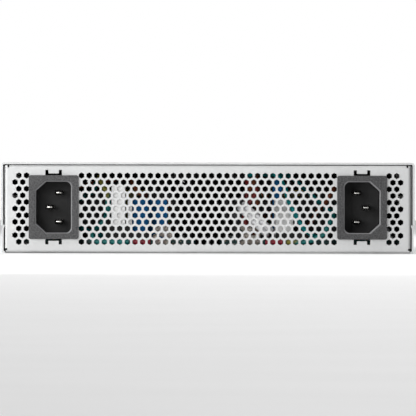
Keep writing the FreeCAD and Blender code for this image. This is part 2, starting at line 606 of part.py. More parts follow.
def inlet_housing():
    face = REAR_FACE + INLET_PROUD
    flange_points, flange_radii = rectangle(-FLANGE_W / 2, FLANGE_W / 2, -FLANGE_H / 2, FLANGE_H / 2, 1.0)
    flange = solid_from(rounded_wire(at_y(flange_points, REAR_FACE), flange_radii),
                        Vec(0, INLET_PROUD, 0))
    body = block(0, BODY_W, REAR_FACE - BODY_DEEP, REAR_FACE, -BODY_H / 2, BODY_H / 2)
    recess = solid_from(recess_wire(face - RECESS_DEEP), Vec(0, RECESS_DEEP + 1, 0))
    rim = Part.makeLoft([recess_wire(face - RIM), recess_wire(face + RIM, 2 * RIM)], True, True)
    shell = cut(flange.fuse(body).removeSplitter(), [recess, rim])
    latches = []
    for side in SIDES:
        z0, z1 = sorted((side * BODY_H / 2, side * (BODY_H / 2 + 0.9)))
        latches.append(block(-7.0, 3.0, REAR_FACE - 9.0, REAR_FACE - SHEET - 0.1, z0, z1))
        latches.append(block(7.0, 3.0, REAR_FACE - 9.0, REAR_FACE - SHEET - 0.1, z0, z1))
    return cut(fuse([shell] + latches), [inlet_pin(*place) for place in pin_places()])


def place_inlet(shape, side):
    """The two inlets are the same piece, turned so that the chamfers face outboard."""
    placed = shape.copy()
    if side < 0:
        placed.rotate(Vec(0, 0, 0), Y_AXIS, 180)
    placed.translate(Vec(side * INLET_X, 0, INLET_Z))
    return placed


# ======================================================================================
# Power supplies
# ======================================================================================
def psu_board(side):
    """L-shaped board: a neck between the inlets and a full-width part ahead of them."""
    outline = [(PSU_X0, PSU_Y0), (PSU_X1, PSU_Y0), (PSU_X1, PSU_STEP), (PSU_NECK, PSU_STEP),
               (PSU_NECK, PSU_Y1), (PSU_X0, PSU_Y1)]
    points = [(side * x, y) for x, y in outline]
    board = solid_from(rounded_wire(at_z(points, PSU_TOP - BOARD), [1.0] * 6), Vec(0, 0, BOARD))
    holes = [rod(Vec(x, y, 0), SCREW_R, 10, Z_AXIS) for x, y in PSU_SCREWS if x * side > 0]
    return cut(board, holes)


def standoff(x, y, top):
    """Hexagonal pressed standoff, flush with the underside of the floor."""
    radius = 5.5 / math.sqrt(3)
    turns = [math.radians(60 * i) for i in range(7)]
    ring = [Vec(x + radius * math.cos(a), y + radius * math.sin(a), SHEET) for a in turns]
    hexagon_part = solid_from(Part.makePolygon(ring), Vec(0, 0, top - SHEET))
    foot = rod(Vec(x, y, 0), SCREW_R + 0.6, SHEET, Z_AXIS)
    bore = rod(Vec(x, y, top - 4.0), SCREW_R - 0.25, 5.0, Z_AXIS)
    return cut(hexagon_part.fuse(foot).removeSplitter(), [bore])


def pan_screw(x, y, board_top):
    head = rod(Vec(x, y, board_top), SCREW_HEAD_R, 1.9, Z_AXIS)
    shank = rod(Vec(x, y, board_top - BOARD - 2.5), SCREW_R - 0.25, BOARD + 2.5, Z_AXIS)
    slot_a = block(x, 3.4, y - 0.35, y + 0.35, board_top + 1.0, board_top + 3.0)
    slot_b = block(x, 0.7, y - 1.7, y + 1.7, board_top + 1.0, board_top + 3.0)
    return cut(head.fuse(shank).removeSplitter(), [slot_a, slot_b])


def rounded_block(x, width, y0, y1, z0, z1, radius):
    points, radii = rectangle(x - width / 2, x + width / 2, z0, z1, radius)
    return solid_from(rounded_wire(at_y(points, y0), radii), Vec(0, y1 - y0, 0))


def bulk_capacitors():
    """Large electrolytic cans lying along the board, two on each supply."""
    for side in SIDES:
        for x in CANS_X:
            start = Vec(side * x, CAN_Y, PSU_TOP + CAN_R + 0.1)
            can = rod(start, CAN_R, CAN_LONG, Y_AXIS)
            groove_at = start + Y_AXIS * (CAN_LONG - 5.0)
            groove = rod(groove_at, CAN_R + 1.5, 1.6, Y_AXIS).cut(rod(groove_at, CAN_R - 0.6, 1.6, Y_AXIS))
            yield can.cut(groove)


def film_capacitors():
    """Potted film capacitors at the mains end, and one beside each output stage."""
    for place in FILM_CAPACITORS:
        yield rounded_block(*place, 1.2)


def relays_and_screens():
    """Pale relays with a hood over the terminals, and pale insulating screens."""
    for x, width, y0, y1, z0, z1 in RELAYS:
        foot = block(x, width, y0, RELAY_FOOT, PSU_TOP, z1 - 2.0)
        yield fuse([rounded_block(x, width, y0, y1, z0, z1, 0.8), foot])
    for place in SCREENS:
        yield rounded_block(*place, 0.6)


def transformer_cores():
    """Ferrite pairs: two outer legs and two end bars round a square window."""
    z0 = PSU_TOP + 2.0
    z1 = z0 + CORE_H
    for side in SIDES:
        x = side * CORE_X
        frame = block(x, CORE_W, CORE_Y0, CORE_Y1, z0, z1)
        window = block(x, CORE_W - 2 * CORE_LEG, CORE_Y0 - 1, CORE_Y1 + 1, z0 + CORE_LEG, z1 - CORE_LEG)
        post = block(x, COIL_POST, CORE_Y0, CORE_Y1, z0 + CORE_LEG, z1 - CORE_LEG)
        yield fuse([frame.cut(window), post])


def transformer_windings():
    """Taped windings on a bobbin, through the core's two windows."""
    z0 = PSU_TOP + 2.0 + CORE_LEG + 0.2
    for side in SIDES:
        x = side * CORE_X
        outer = rounded_block(x, COIL_W, CORE_Y0 - 4.0, CORE_Y1 + 4.0, z0, z0 + COIL_H, 2.0)
        inner = block(x, COIL_POST + 0.2, CORE_Y0 - 0.2, CORE_Y1 + 0.2, z0 - 1, z0 + COIL_H + 1)
        yield outer.cut(inner)


def chokes():
    """Wound ring chokes: one standing at each mains end, one lying on each output side."""
    for centre, axis, radius, section in STANDING_CHOKES:
        yield Part.makeTorus(radius, section, centre, axis)
    for side in SIDES:
        centre = Vec(side * FLAT_CHOKE_X, FLAT_CHOKE_Y, PSU_TOP + FLAT_CHOKE_WIRE + 0.2)
        yield Part.makeTorus(FLAT_CHOKE_R, FLAT_CHOKE_WIRE, centre, Z_AXIS)


def choke_posts():
    """Moulded bases that hold the two standing chokes over the board."""
    for place in CHOKE_POSTS:
        yield rounded_block(*place, 0.4)


def finned_block(x, width, y0, y1, levels, fins, thick):
    """Heatsink: a flat base between the first two levels, with fins up to the third."""
    bottom, base_top, top = levels
    pitch = (width - thick) / (fins - 1)
    outline = [(-width / 2, bottom), (width / 2, bottom)]
    for i in reversed(range(fins)):
        left = i * pitch - width / 2
        outline += [(left + thick, base_top), (left + thick, top), (left, top), (left, base_top)]
    del outline[2], outline[-1]
    points = at_y([(x + u, z) for u, z in outline], y0)
    return solid_from(Part.makePolygon(points + points[:1]), Vec(0, y1 - y0, 0))


def psu_heatsinks():
    """Upright aluminium walls with a folded top, beside each supply's switches."""
    for side in SIDES:
        for x, y0, y1 in SINK_WALLS:
            wall = block(side * x, SINK_SHEET, y0, y1, PSU_TOP, SINK_TOP)
            lip_x = x + (SINK_LIP - SINK_SHEET) / 2
            top = block(side * lip_x, SINK_LIP, y0, y1, SINK_TOP - SINK_SHEET, SINK_TOP)
            yield fuse([wall, top])


def input_terminals():
    """Black mains terminal blocks on the rear edge of each board."""
    for place in TERMINALS:
        yield block(*place)


def output_connectors():
    """Shrouded low-voltage connectors at the front edge of each board."""
    for side in SIDES:
        x = side * CORE_X
        shroud = block(x, OUTPUT_W, OUTPUT_Y0, OUTPUT_Y1, PSU_TOP, PSU_TOP + OUTPUT_H)
        cavity = block(x, OUTPUT_W - 2.0, OUTPUT_Y0 - 1, OUTPUT_Y1 - 2.5,
                       PSU_TOP + 1.2, PSU_TOP + OUTPUT_H - 1.2)
        yield shroud.cut(cavity)


def varistors():
    """Red surge suppressors lying along the rear edge of each board."""
    for side in SIDES:
        start = Vec(side * VARISTOR_X - VARISTOR_LONG / 2, VARISTOR_Y, VARISTOR_Z)
        yield rod(start, VARISTOR_R, VARISTOR_LONG, X_AXIS)


# ======================================================================================
# Wiring
# ======================================================================================
def lead_start(side, index):
    """End of an inlet's crimp tab: 0 upper blade, 1 lower blade, 2 earth."""
    x, z, _ = list(pin_places())[index]
    return Vec(side * (INLET_X + x), REAR_FACE - BODY_DEEP - 8.0, INLET_Z + (z if side > 0 else -z))


def inlet_lead(side, index, straight, route, radius):
    """Lead from an inlet tab: straight out of the tab, then along its route."""
    start = lead_start(side, index)
    return tube([start, start - Y_AXIS * straight] + route, radius, LEAD_BEND)


def live_leads():
    for side in SIDES:
        yield inlet_lead(side, 0 if side > 0 else 1, 6.5, LIVE_ROUTES[side], LIVE_R)
    yield tube(SIGNAL_BROWN, SIGNAL_R, LEAD_BEND)


def neutral_leads():
    for side in SIDES:
        yield inlet_lead(side, 1 if side > 0 else 0, 7.0, NEUTRAL_ROUTES[side], LIVE_R)


def earth_leads():
    for side in SIDES:
        yield inlet_lead(side, 2, 9.5, EARTH_ROUTES[side], EARTH_R)


def sense_leads():
    """White pair from the filter to the controller, side by side, splayed at its ends."""
    for way in SIDES:
        route = []
        for x, y, z in PAIR_ROUTE:
            splay = PAIR_DY if y < PAIR_FACE_Y else 0.0
            rise = PAIR_DZ if z > PSU_TOP else 0.0
            route.append((x + way * PAIR_DX, y + way * splay, z + way * rise))
        yield tube(route, PAIR_R, LEAD_BEND)


def dc_leads():
    """Four low-voltage leads from each supply, between the fans, and one signal lead."""
    for side in SIDES:
        for dx in (-LEAD_SPREAD, LEAD_SPREAD):
            for dz in (-LEAD_SPREAD, LEAD_SPREAD):
                start_x, x = side * CORE_X + dx, side * FAN_PITCH + dx
                rise_y = (MAIN_Y1 + FAN_Y0) / 2 + dz - 0.2
                yield tube([(start_x, 101.0, 10.7 + dz), (start_x, 93.0, 10.7 + dz), (x, 88.0, 4.3 + dz),
                            (x, rise_y, 4.3 + dz), (x, rise_y, 12.0 + dz), (x, 46.0, 12.0 + dz)], DC_R, 2.6)
    yield tube(SIGNAL_RED, SIGNAL_R, LEAD_BEND)


# ======================================================================================
# Fans
# ======================================================================================
def fan_frame():
    """Square shroud with a round duct and three struts to the motor seat at its rear."""
    half = FAN_SIZE / 2
    outline = rectangle_wire(0, -half, half, -half, half, FAN_CORNER_R)
    duct = Part.Wire(Part.makeCircle(FAN_BORE_R, Vec(0, 0, 0), Y_AXIS))
    holes = [Part.Wire(Part.makeCircle(FAN_HOLE_R, Vec(a * FAN_SCREW, 0, b * FAN_SCREW), Y_AXIS))
             for a in SIDES for b in SIDES]
    shroud = solid_from(outline, Vec(0, FAN_DEEP, 0), [duct] + holes)
    around = rectangle_wire(FAN_WAIST, -half - 1, half + 1, -half - 1, half + 1)
    waist = solid_from(around, Vec(0, FAN_DEEP - 2 * FAN_WAIST, 0),
                       [Part.Wire(Part.makeCircle(half - 0.2, Vec(0, FAN_WAIST, 0), Y_AXIS))])
    seat = rod(Vec(0, FAN_DEEP - FAN_SEAT, 0), FAN_HUB_R, FAN_SEAT, Y_AXIS)
    struts = []
    for i in range(3):
        strut = box(FAN_HUB_R - 1, FAN_BORE_R + 0.5, FAN_DEEP - FAN_SEAT, FAN_DEEP,
                    -FAN_STRUT / 2, FAN_STRUT / 2)
        strut.rotate(Vec(0, 0, 0), Y_AXIS, 30 + 120 * i)
        struts.append(strut)
    seat_bore = rod(Vec(0, FAN_DEEP - FAN_SEAT - 1.0, 0), BEARING_R, FAN_SEAT, Y_AXIS)
    return fuse([shroud.cut(waist), seat] + struts).cut(seat_bore)


def fan_bearing():
    """Bronze sleeve pressed in the motor seat."""
    outer = rod(Vec(0, BEARING_Y, 0), BEARING_R, FAN_DEEP - 1.0 - BEARING_Y, Y_AXIS)
    return outer.cut(rod(Vec(0, BEARING_Y - 1, 0), SHAFT_R + BEARING_PLAY, FAN_DEEP, Y_AXIS))


def fan_stator():
    """Wound four-pole stator round the bearing sleeve."""
    core = rod(Vec(0, STATOR_Y, 0), STATOR_R, STATOR_LONG, Y_AXIS)
    middle = STATOR_Y + STATOR_LONG / 2
    poles = []
    for i in range(4):
        pole = block((POLE_R + SHOE_R) / 2 + 0.1, SHOE_R - POLE_R + 0.2, middle - POLE_LONG / 2,
                     middle + POLE_LONG / 2, -POLE_W / 2, POLE_W / 2)
        shoe = box(SHOE_R, STATOR_TIP_R, middle - SHOE_LONG / 2, middle + SHOE_LONG / 2,
                   -SHOE_W / 2, SHOE_W / 2)
        for piece in (pole, shoe):
            piece.rotate(Vec(0, 0, 0), Y_AXIS, 45 + 90 * i)
            poles.append(piece)
    return fuse([core] + poles).cut(rod(Vec(0, 0, 0), BEARING_R, FAN_DEEP, Y_AXIS))


def fan_blade(index):
    """One twisted blade, from inside the hub wall to the tip."""
    sections = []
    for radius, pitch in zip((FAN_HUB_R - 0.6, BLADE_MID_R, FAN_TIP_R), BLADE_PITCHES):
        chord = BLADE_CHORD + BLADE_FLARE * (radius - FAN_HUB_R)
        angle = math.radians(pitch)
        along = Vec(0, math.sin(angle), math.cos(angle)) * (chord / 2)
        across = Vec(0, math.cos(angle), -math.sin(angle)) * (BLADE_THICK / 2)
        centre = Vec(radius, BLADE_Y, 0)
        ring = [centre - along - across, centre + along - across,
                centre + along + across, centre - along + across]
        sections.append(Part.makePolygon(ring + ring[:1]))
    blade = Part.makeLoft(sections, True, True)
    blade.rotate(Vec(0, 0, 0), Y_AXIS, 360.0 * index / BLADES)
    return blade


def fan_rotor():
    """Hub cup over the stator, with its blades trimmed to a running tip clearance."""
    cup = rod(Vec(0, HUB_Y, 0), FAN_HUB_R, HUB_LONG, Y_AXIS)
    hollow = rod(Vec(0, HUB_Y + HUB_END, 0), HUB_INNER_R, HUB_LONG, Y_AXIS)
    envelope = rod(Vec(0, HUB_Y - 2.0, 0), FAN_TIP_R, HUB_LONG + 3.0, Y_AXIS)
    core = rod(Vec(0, 0, 0), FAN_HUB_R - 0.7, FAN_DEEP, Y_AXIS)
    blades = fuse(fan_blade(i) for i in range(BLADES)).common(envelope).cut(core)
    boss = rod(Vec(0, HUB_Y + HUB_END, 0), HUB_BOSS_R, 5.0, Y_AXIS)
    cup = cut(fuse([cup.cut(hollow), boss]), [rod(Vec(0, HUB_Y - 1, 0), SHAFT_R, 9.0, Y_AXIS)])
    return fuse([cup, blades])


def fan_shaft():
    """Steel shaft, pressed in the hub and running in the sleeve."""
    return rod(Vec(0, HUB_Y + 0.5, 0), SHAFT_R, FAN_DEEP - 2.5 - HUB_Y, Y_AXIS)


def at_fan(shape, x):
    placed = shape.copy()
    placed.translate(Vec(x, FAN_Y0, FAN_Z))
    return placed


def fan_bracket():
    """Cross wall behind the fans, with a duct hole for each and a lip under the cover."""
    y0 = FAN_Y0 + FAN_DEEP
    z1 = HEIGHT - COVER_SHEET
    ducts = []
    for x in FAN_CENTRES:
        ducts.append(rod(Vec(x, y0 - 1, FAN_Z), FAN_BORE_R - 0.3, 4, Y_AXIS))
        ducts += [rod(Vec(x + a * FAN_SCREW, y0 - 1, FAN_Z + b * FAN_SCREW), SCREW_R, 4, Y_AXIS)
                  for a in SIDES for b in SIDES]
        ducts.append(block(x + FAN_PITCH / 2, 7.0, y0 - 1, y0 + 3, 1.8, 8.0))
    ducts += [rod(Vec(x, y, 30), SCREW_R, 20, Z_AXIS) for x, y in COVER_TOP_SCREWS]
    fold = [(y0 + BRACKET_LIP, z1), (y0, z1), (y0, SHEET), (y0 + BRACKET_FOOT, SHEET)]
    points, radii = folded_outline(fold, SHEET, BEND)
    profile = rounded_wire(at_x(points, -BRACKET_HALF), radii)
    return cut(solid_from(profile, Vec(2 * BRACKET_HALF, 0, 0)), ducts)


def fan_screws():
    """Screws through the bracket, one in each corner of each fan."""
    y0 = FAN_Y0 + FAN_DEEP + SHEET
    for x in FAN_CENTRES:
        for a in SIDES:
            for b in SIDES:
                start = Vec(x + a * FAN_SCREW, y0, FAN_Z + b * FAN_SCREW)
                head = rod(start, 2.6, 1.6, Y_AXIS)
                yield head.fuse(rod(start, SCREW_R, 9.0, Y_AXIS * -1)).removeSplitter()


# ======================================================================================
# Main board and ports
# ======================================================================================
def cage_width(columns, pitch):
    return columns * pitch + CAGE_SHEET


def cage_levels():
    """Heights of the four horizontal plates of a two-high cage."""
    low = MAIN_TOP
    middle = low + CAGE_SHEET + PORT_H
    upper = middle + CAGE_SHEET + CHANNEL_H
    return [low, middle, upper, upper + CAGE_SHEET + PORT_H]


def cage_top():
    return cage_levels()[3] + CAGE_SHEET


def cage_plates(centre, columns, pitch):
    """Stamped plates of a two-high ganged cage: floor, roof, back, partitions, shelves."""
    y0, y1 = -DEPTH / 2, -DEPTH / 2 + CAGE_DEEP
    half = cage_width(columns, pitch) / 2
    levels = cage_levels()
    for z in (levels[0], levels[3]):
        yield box(centre - half, centre + half, y0, y1, z, z + CAGE_SHEET)
    z0, z1 = levels[0] + CAGE_SHEET, levels[3]
    yield box(centre - half, centre + half, y1 - CAGE_SHEET, y1, z0, z1)
    for i in range(columns + 1):
        x = centre - half + i * pitch
        yield box(x, x + CAGE_SHEET, y0, y1 - CAGE_SHEET, z0, z1)
        if i < columns:
            for z in levels[1:3]:
                yield box(x + CAGE_SHEET, x + pitch, y0, y1 - CAGE_SHEET, z, z + CAGE_SHEET)


def network_jacks():
    """Two stacked eight-way jacks: each has a body well and a stepped latch slot."""
    y0 = -DEPTH / 2
    body = block(JACK_X, JACK_W, y0, y0 + JACK_DEEP, MAIN_TOP, MAIN_TOP + JACK_H)
    wells = []
    middle = MAIN_TOP + JACK_H / 2
    for side in SIDES:
        inner, outer = middle + side * JACK_INNER, middle + side * JACK_OUTER
        slot, notch = middle + side * JACK_SLOT, middle + side * JACK_NOTCH
        steps = [(JACK_HALF, inner), (JACK_HALF, outer), (JACK_SLOT_HALF, outer),
                 (JACK_SLOT_HALF, slot), (JACK_NOTCH_HALF, slot), (JACK_NOTCH_HALF, notch)]
        outline = steps + [(-u, z) for u, z in reversed(steps)]
        points = at_y([(JACK_X + u, z) for u, z in outline], y0 - 1)
        wells.append(solid_from(Part.makePolygon(points + points[:1]), Vec(0, JACK_WELL + 1, 0)))
    return cut(body, wells)


def usb_port():
    """Metal shell round a flat tongue."""
    y0 = -DEPTH / 2
    z0, z1 = MAIN_TOP, MAIN_TOP + USB_H
    shell = rounded_block(USB_X, USB_W, y0, y0 + USB_DEEP, z0, z1, USB_R)
    well = rounded_block(USB_X, USB_W - 2 * USB_SHEET, y0 - 1, y0 + USB_DEEP - 1.5,
                         z0 + USB_SHEET, z1 - USB_SHEET, USB_SHEET)
    tongue = block(USB_X, USB_TONGUE_W, y0 + USB_TONGUE_BACK, y0 + USB_DEEP - 1.0,
                   z1 - USB_TONGUE_LOW, z1 - USB_TONGUE_HIGH)
    return fuse([shell.cut(well), tongue])


def light_pipes():
    """Clear bars to the front: two in each port column, and the status column."""
    levels = cage_levels()
    z = (levels[1] + levels[2] + CAGE_SHEET) / 2
    y0 = -DEPTH / 2
    for centre, columns, pitch in ((SFP_X, SFP_COLUMNS, SFP_PITCH), (QSFP_X, QSFP_COLUMNS, QSFP_PITCH)):
        for i in range(columns):
            x = centre + (i - (columns - 1) / 2) * pitch
            for shift in (-3.2, 3.2):
                yield rounded_block(x + shift, 2.0, y0, y0 + 20.0, z - 1.0, z + 1.0, 0.4)
    for i in range(LED_COUNT):
        yield rod(Vec(LED_X, FRONT_FACE - 0.4, LED_Z + i * LED_PITCH), LED_R, 14.0, Y_AXIS)


def reset_button():
    front = FRONT_FACE - 0.1
    cap = rod(Vec(RESET_X, front, RESET_Z), RESET_CAP_R, 5.4, Y_AXIS)
    stem = rod(Vec(RESET_X, front + 5.4, RESET_Z), RESET_STEM_R, 3.0, Y_AXIS)
    return cap.fuse(stem).removeSplitter()


def reset_switch():
    """Switch body on a small upright carrier, bored for the button's stem."""
    y0 = FRONT_FACE + 6.8
    body = block(RESET_X, 6.0, y0, y0 + 4.0, RESET_Z - 3.0, RESET_Z + 3.0)
    leg = block(RESET_X, 4.0, y0 + 1.0, y0 + 4.0, MAIN_TOP + USB_H + 0.1, RESET_Z - 3.0)
    well = rod(Vec(RESET_X, y0 - 1, RESET_Z), RESET_STEM_R + 0.07, 3.6, Y_AXIS)
    return fuse([body, leg]).cut(well)


def main_board():
    outline = [(-MAIN_X, MAIN_Y0), (MAIN_X, MAIN_Y0), (MAIN_X, MAIN_Y1), (-MAIN_X, MAIN_Y1)]
    board = solid_from(rounded_wire(at_z(outline, MAIN_TOP - BOARD), [2.0] * 4), Vec(0, 0, BOARD))
    return cut(board, [rod(Vec(x, y, 0), SCREW_R, 20, Z_AXIS) for x, y in MAIN_SCREWS])


def heatsink_corners():
    for x in (-HEATSINK_SCREW_X, HEATSINK_SCREW_X):
        for y in (HEATSINK_Y0 + 6.0, HEATSINK_Y1 - 6.0):
            yield Vec(x, y, MAIN_TOP)


def switch_chip():
    middle = (HEATSINK_Y0 + HEATSINK_Y1) / 2
    base = block(0, CHIP_BASE, middle - CHIP_BASE / 2, middle + CHIP_BASE / 2, MAIN_TOP, MAIN_TOP + 1.2)
    lid = block(0, CHIP_LID, middle - CHIP_LID / 2, middle + CHIP_LID / 2, MAIN_TOP + 1.2, HEATSINK_BASE[0])
    return fuse([base, lid])


def switch_heatsink():
    sink = finned_block(0, 2 * HEATSINK_HALF, HEATSINK_Y0, HEATSINK_Y1, HEATSINK_BASE, HEATSINK_FINS, 1.0)
    tools = []
    for corner in heatsink_corners():
        tools.append(rod(corner, SCREW_R + 0.1, 12, Z_AXIS))
        tools.append(rod(corner + Z_AXIS * 7.0, 4.0, 40, Z_AXIS))
    return cut(sink, tools)


def heatsink_screws():
    """Spring-loaded shoulder screws in the heatsink's corners."""
    for corner in heatsink_corners():
        shank = rod(corner, SCREW_R, 14.0, Z_AXIS)
        head = rod(corner + Z_AXIS * 14.0, 3.2, 2.4, Z_AXIS)
        yield shank.fuse(head).removeSplitter()


def heatsink_springs():
    """Compressed coil under each screw head, as a closed sleeve."""
    for corner in heatsink_corners():
        start = corner + Z_AXIS * 7.0
        yield rod(start, 2.7, 7.0, Z_AXIS).cut(rod(start, SCREW_R + 0.1, 7.0, Z_AXIS))


def processor_module():
    """Plug-in processor board on its connector."""
    return block(MODULE_X, MODULE_W, MODULE_Y0, MODULE_Y1, MODULE_Z, MODULE_Z + MODULE_T)


def module_connector():
    return block(MODULE_X, MODULE_W - 14.0, MODULE_Y1 - 8.0, MODULE_Y1 - 2.0, MAIN_TOP, MODULE_Z)


def processor_heatsink():
    levels = (MODULE_Z + MODULE_T, MODULE_Z + MODULE_T + 3.0, 36.0)
    return finned_block(*MODULE_SINK, levels, 13, 1.0)


def memory_module():
    return block(MEMORY_X, MEMORY_W, MEMORY_Y0, MEMORY_Y1, MEMORY_Z, MEMORY_Z + MEMORY_T)


def memory_socket():
    body = block(MEMORY_X, MEMORY_W + 2.0, MEMORY_Y1 - 5.0, MEMORY_Y1 + 3.0,
                 MODULE_Z + MODULE_T, MEMORY_Z + 3.0)
    return body.cut(block(MEMORY_X, MEMORY_W, MEMORY_Y1 - 6.0, MEMORY_Y1, MEMORY_Z, MEMORY_Z + MEMORY_T))


def power_connectors():
    """Shrouds on the main board where the low-voltage leads end."""
    for side in SIDES:
        yield block(side * FAN_PITCH, 12.0, 40.0, 46.0, MAIN_TOP, MAIN_TOP + 6.0)


# ======================================================================================
# Build
# ======================================================================================
def build_enclosure():
    save("chassis_base", chassis_base())
    save("rear_panel", drilled_panel(end_panel(REAR_FACE, -1, rear_openings)))
    save("front_panel", drilled_panel(end_panel(FRONT_FACE, 1, lambda y: list(front_openings(y)))))
    save("top_cover", top_cover())
    save("cover_screws", *cover_screws())
    save("press_nuts", *cover_nuts(), *rail_nuts())
    save("panel_rivets", *panel_rivets())


def build_inlets():
    housing = inlet_housing()
    pins = Part.makeCompound([inlet_pin(*place) for place in pin_places()])
    for side, word in ((-1, "left"), (1, "right")):
        save("inlet_housing_" + word, place_inlet(housing, side))
        save("inlet_pins_" + word, place_inlet(pins, side))


def build_supplies():
    save("psu_boards", *[psu_board(side) for side in SIDES])
    save("psu_bulk_capacitors", *bulk_capacitors())
    save("psu_film_capacitors", *film_capacitors())
    save("psu_relays", *relays_and_screens())
    save("psu_transformer_cores", *transformer_cores())
    save("psu_transformer_windings", *transformer_windings())
    save("psu_chokes", *chokes())
    save("psu_choke_posts", *choke_posts())
    save("psu_heatsinks", *psu_heatsinks())
    save("psu_input_terminals", *input_terminals())
    save("psu_varistors", *varistors())


def build_wiring():
    save("live_leads", *live_leads())
    save("neutral_leads", *neutral_leads())
    save("earth_leads", *earth_leads())
    save("sense_leads", *sense_leads())
    save("dc_leads", *dc_leads())


def build_fans():
    save("fan_bracket", fan_bracket())
    save("fan_screws", *fan_screws())
    for name, shape in (("fan_frames", fan_frame()), ("fan_bearings", fan_bearing()),
                        ("fan_stators", fan_stator())):
        save(name, *[at_fan(shape, x) for x in FAN_CENTRES])
    rotor, shaft = fan_rotor(), fan_shaft()
    for number, x in enumerate(FAN_CENTRES, 1):
        save("fan_rotor_%d" % number, at_fan(rotor, x))
        save("fan_shaft_%d" % number, at_fan(shaft, x))


def build_boards():
    save("main_board", main_board())
    places = [(x, y, MAIN_TOP) for x, y in MAIN_SCREWS] + [(x, y, PSU_TOP) for x, y in PSU_SCREWS]
    save("board_standoffs", *[standoff(x, y, top - BOARD) for x, y, top in places])
    save("board_screws", *[pan_screw(*place) for place in places])
    save("switch_chip", switch_chip())
    save("switch_heatsink", switch_heatsink())
    save("heatsink_screws", *heatsink_screws())
    save("heatsink_springs", *heatsink_springs())
    save("processor_module", processor_module())
    save("processor_heatsink", processor_heatsink())
    save("memory_module", memory_module())
    save("board_connectors", module_connector(), memory_socket())
    save("power_connectors", *power_connectors(), *output_connectors())


def build_ports():
    save("sfp_cages", *cage_plates(SFP_X, SFP_COLUMNS, SFP_PITCH))
    save("qsfp_cages", *cage_plates(QSFP_X, QSFP_COLUMNS, QSFP_PITCH))
    save("network_jacks", network_jacks())
    save("usb_port", usb_port())
    save("light_pipes", *light_pipes())
    save("reset_button", reset_button())
    save("reset_switch", reset_switch())


def main():
    os.makedirs("parts", exist_ok=True)
    build_enclosure()
    build_inlets()
    build_supplies()
    build_wiring()
    build_fans()
    build_boards()
    build_ports()


main()
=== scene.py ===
"""Looks of the half-width rack switch: finishes, fine parts, studio and camera."""
import json
import math
import random

import bmesh
import bpy
from mathutils import Matrix, Vector


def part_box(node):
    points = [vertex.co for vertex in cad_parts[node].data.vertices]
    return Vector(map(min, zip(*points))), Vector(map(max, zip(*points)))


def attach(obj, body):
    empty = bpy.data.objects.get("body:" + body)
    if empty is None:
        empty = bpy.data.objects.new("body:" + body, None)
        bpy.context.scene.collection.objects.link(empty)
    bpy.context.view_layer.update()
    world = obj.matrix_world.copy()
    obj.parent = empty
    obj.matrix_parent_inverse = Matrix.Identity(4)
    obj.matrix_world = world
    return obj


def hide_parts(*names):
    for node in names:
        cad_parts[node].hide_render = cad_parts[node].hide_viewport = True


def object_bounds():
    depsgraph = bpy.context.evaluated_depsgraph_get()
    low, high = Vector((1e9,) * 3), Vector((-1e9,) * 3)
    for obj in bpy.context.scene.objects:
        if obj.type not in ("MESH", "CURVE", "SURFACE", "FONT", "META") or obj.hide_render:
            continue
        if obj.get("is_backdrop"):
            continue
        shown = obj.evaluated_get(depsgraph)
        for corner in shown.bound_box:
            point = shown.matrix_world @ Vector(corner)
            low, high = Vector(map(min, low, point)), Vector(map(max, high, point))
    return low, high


MM = 0.001
CHASSIS = "chassis"

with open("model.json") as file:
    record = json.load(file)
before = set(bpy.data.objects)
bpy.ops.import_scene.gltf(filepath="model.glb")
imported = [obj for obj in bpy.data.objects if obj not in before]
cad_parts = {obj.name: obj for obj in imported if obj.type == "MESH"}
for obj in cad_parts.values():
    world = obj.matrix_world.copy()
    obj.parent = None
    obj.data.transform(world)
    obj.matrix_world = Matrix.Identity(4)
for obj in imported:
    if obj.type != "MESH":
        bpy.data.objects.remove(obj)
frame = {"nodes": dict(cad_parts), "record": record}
cad_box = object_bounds()
REAR_FACE = cad_box[1][1]
slots = {s["node"]: s["material_slot"] for s in frame["record"]["subparts"]}
node_body = {node: body for body, nodes in frame["record"]["behaviour"]["bodies"].items() for node in nodes}


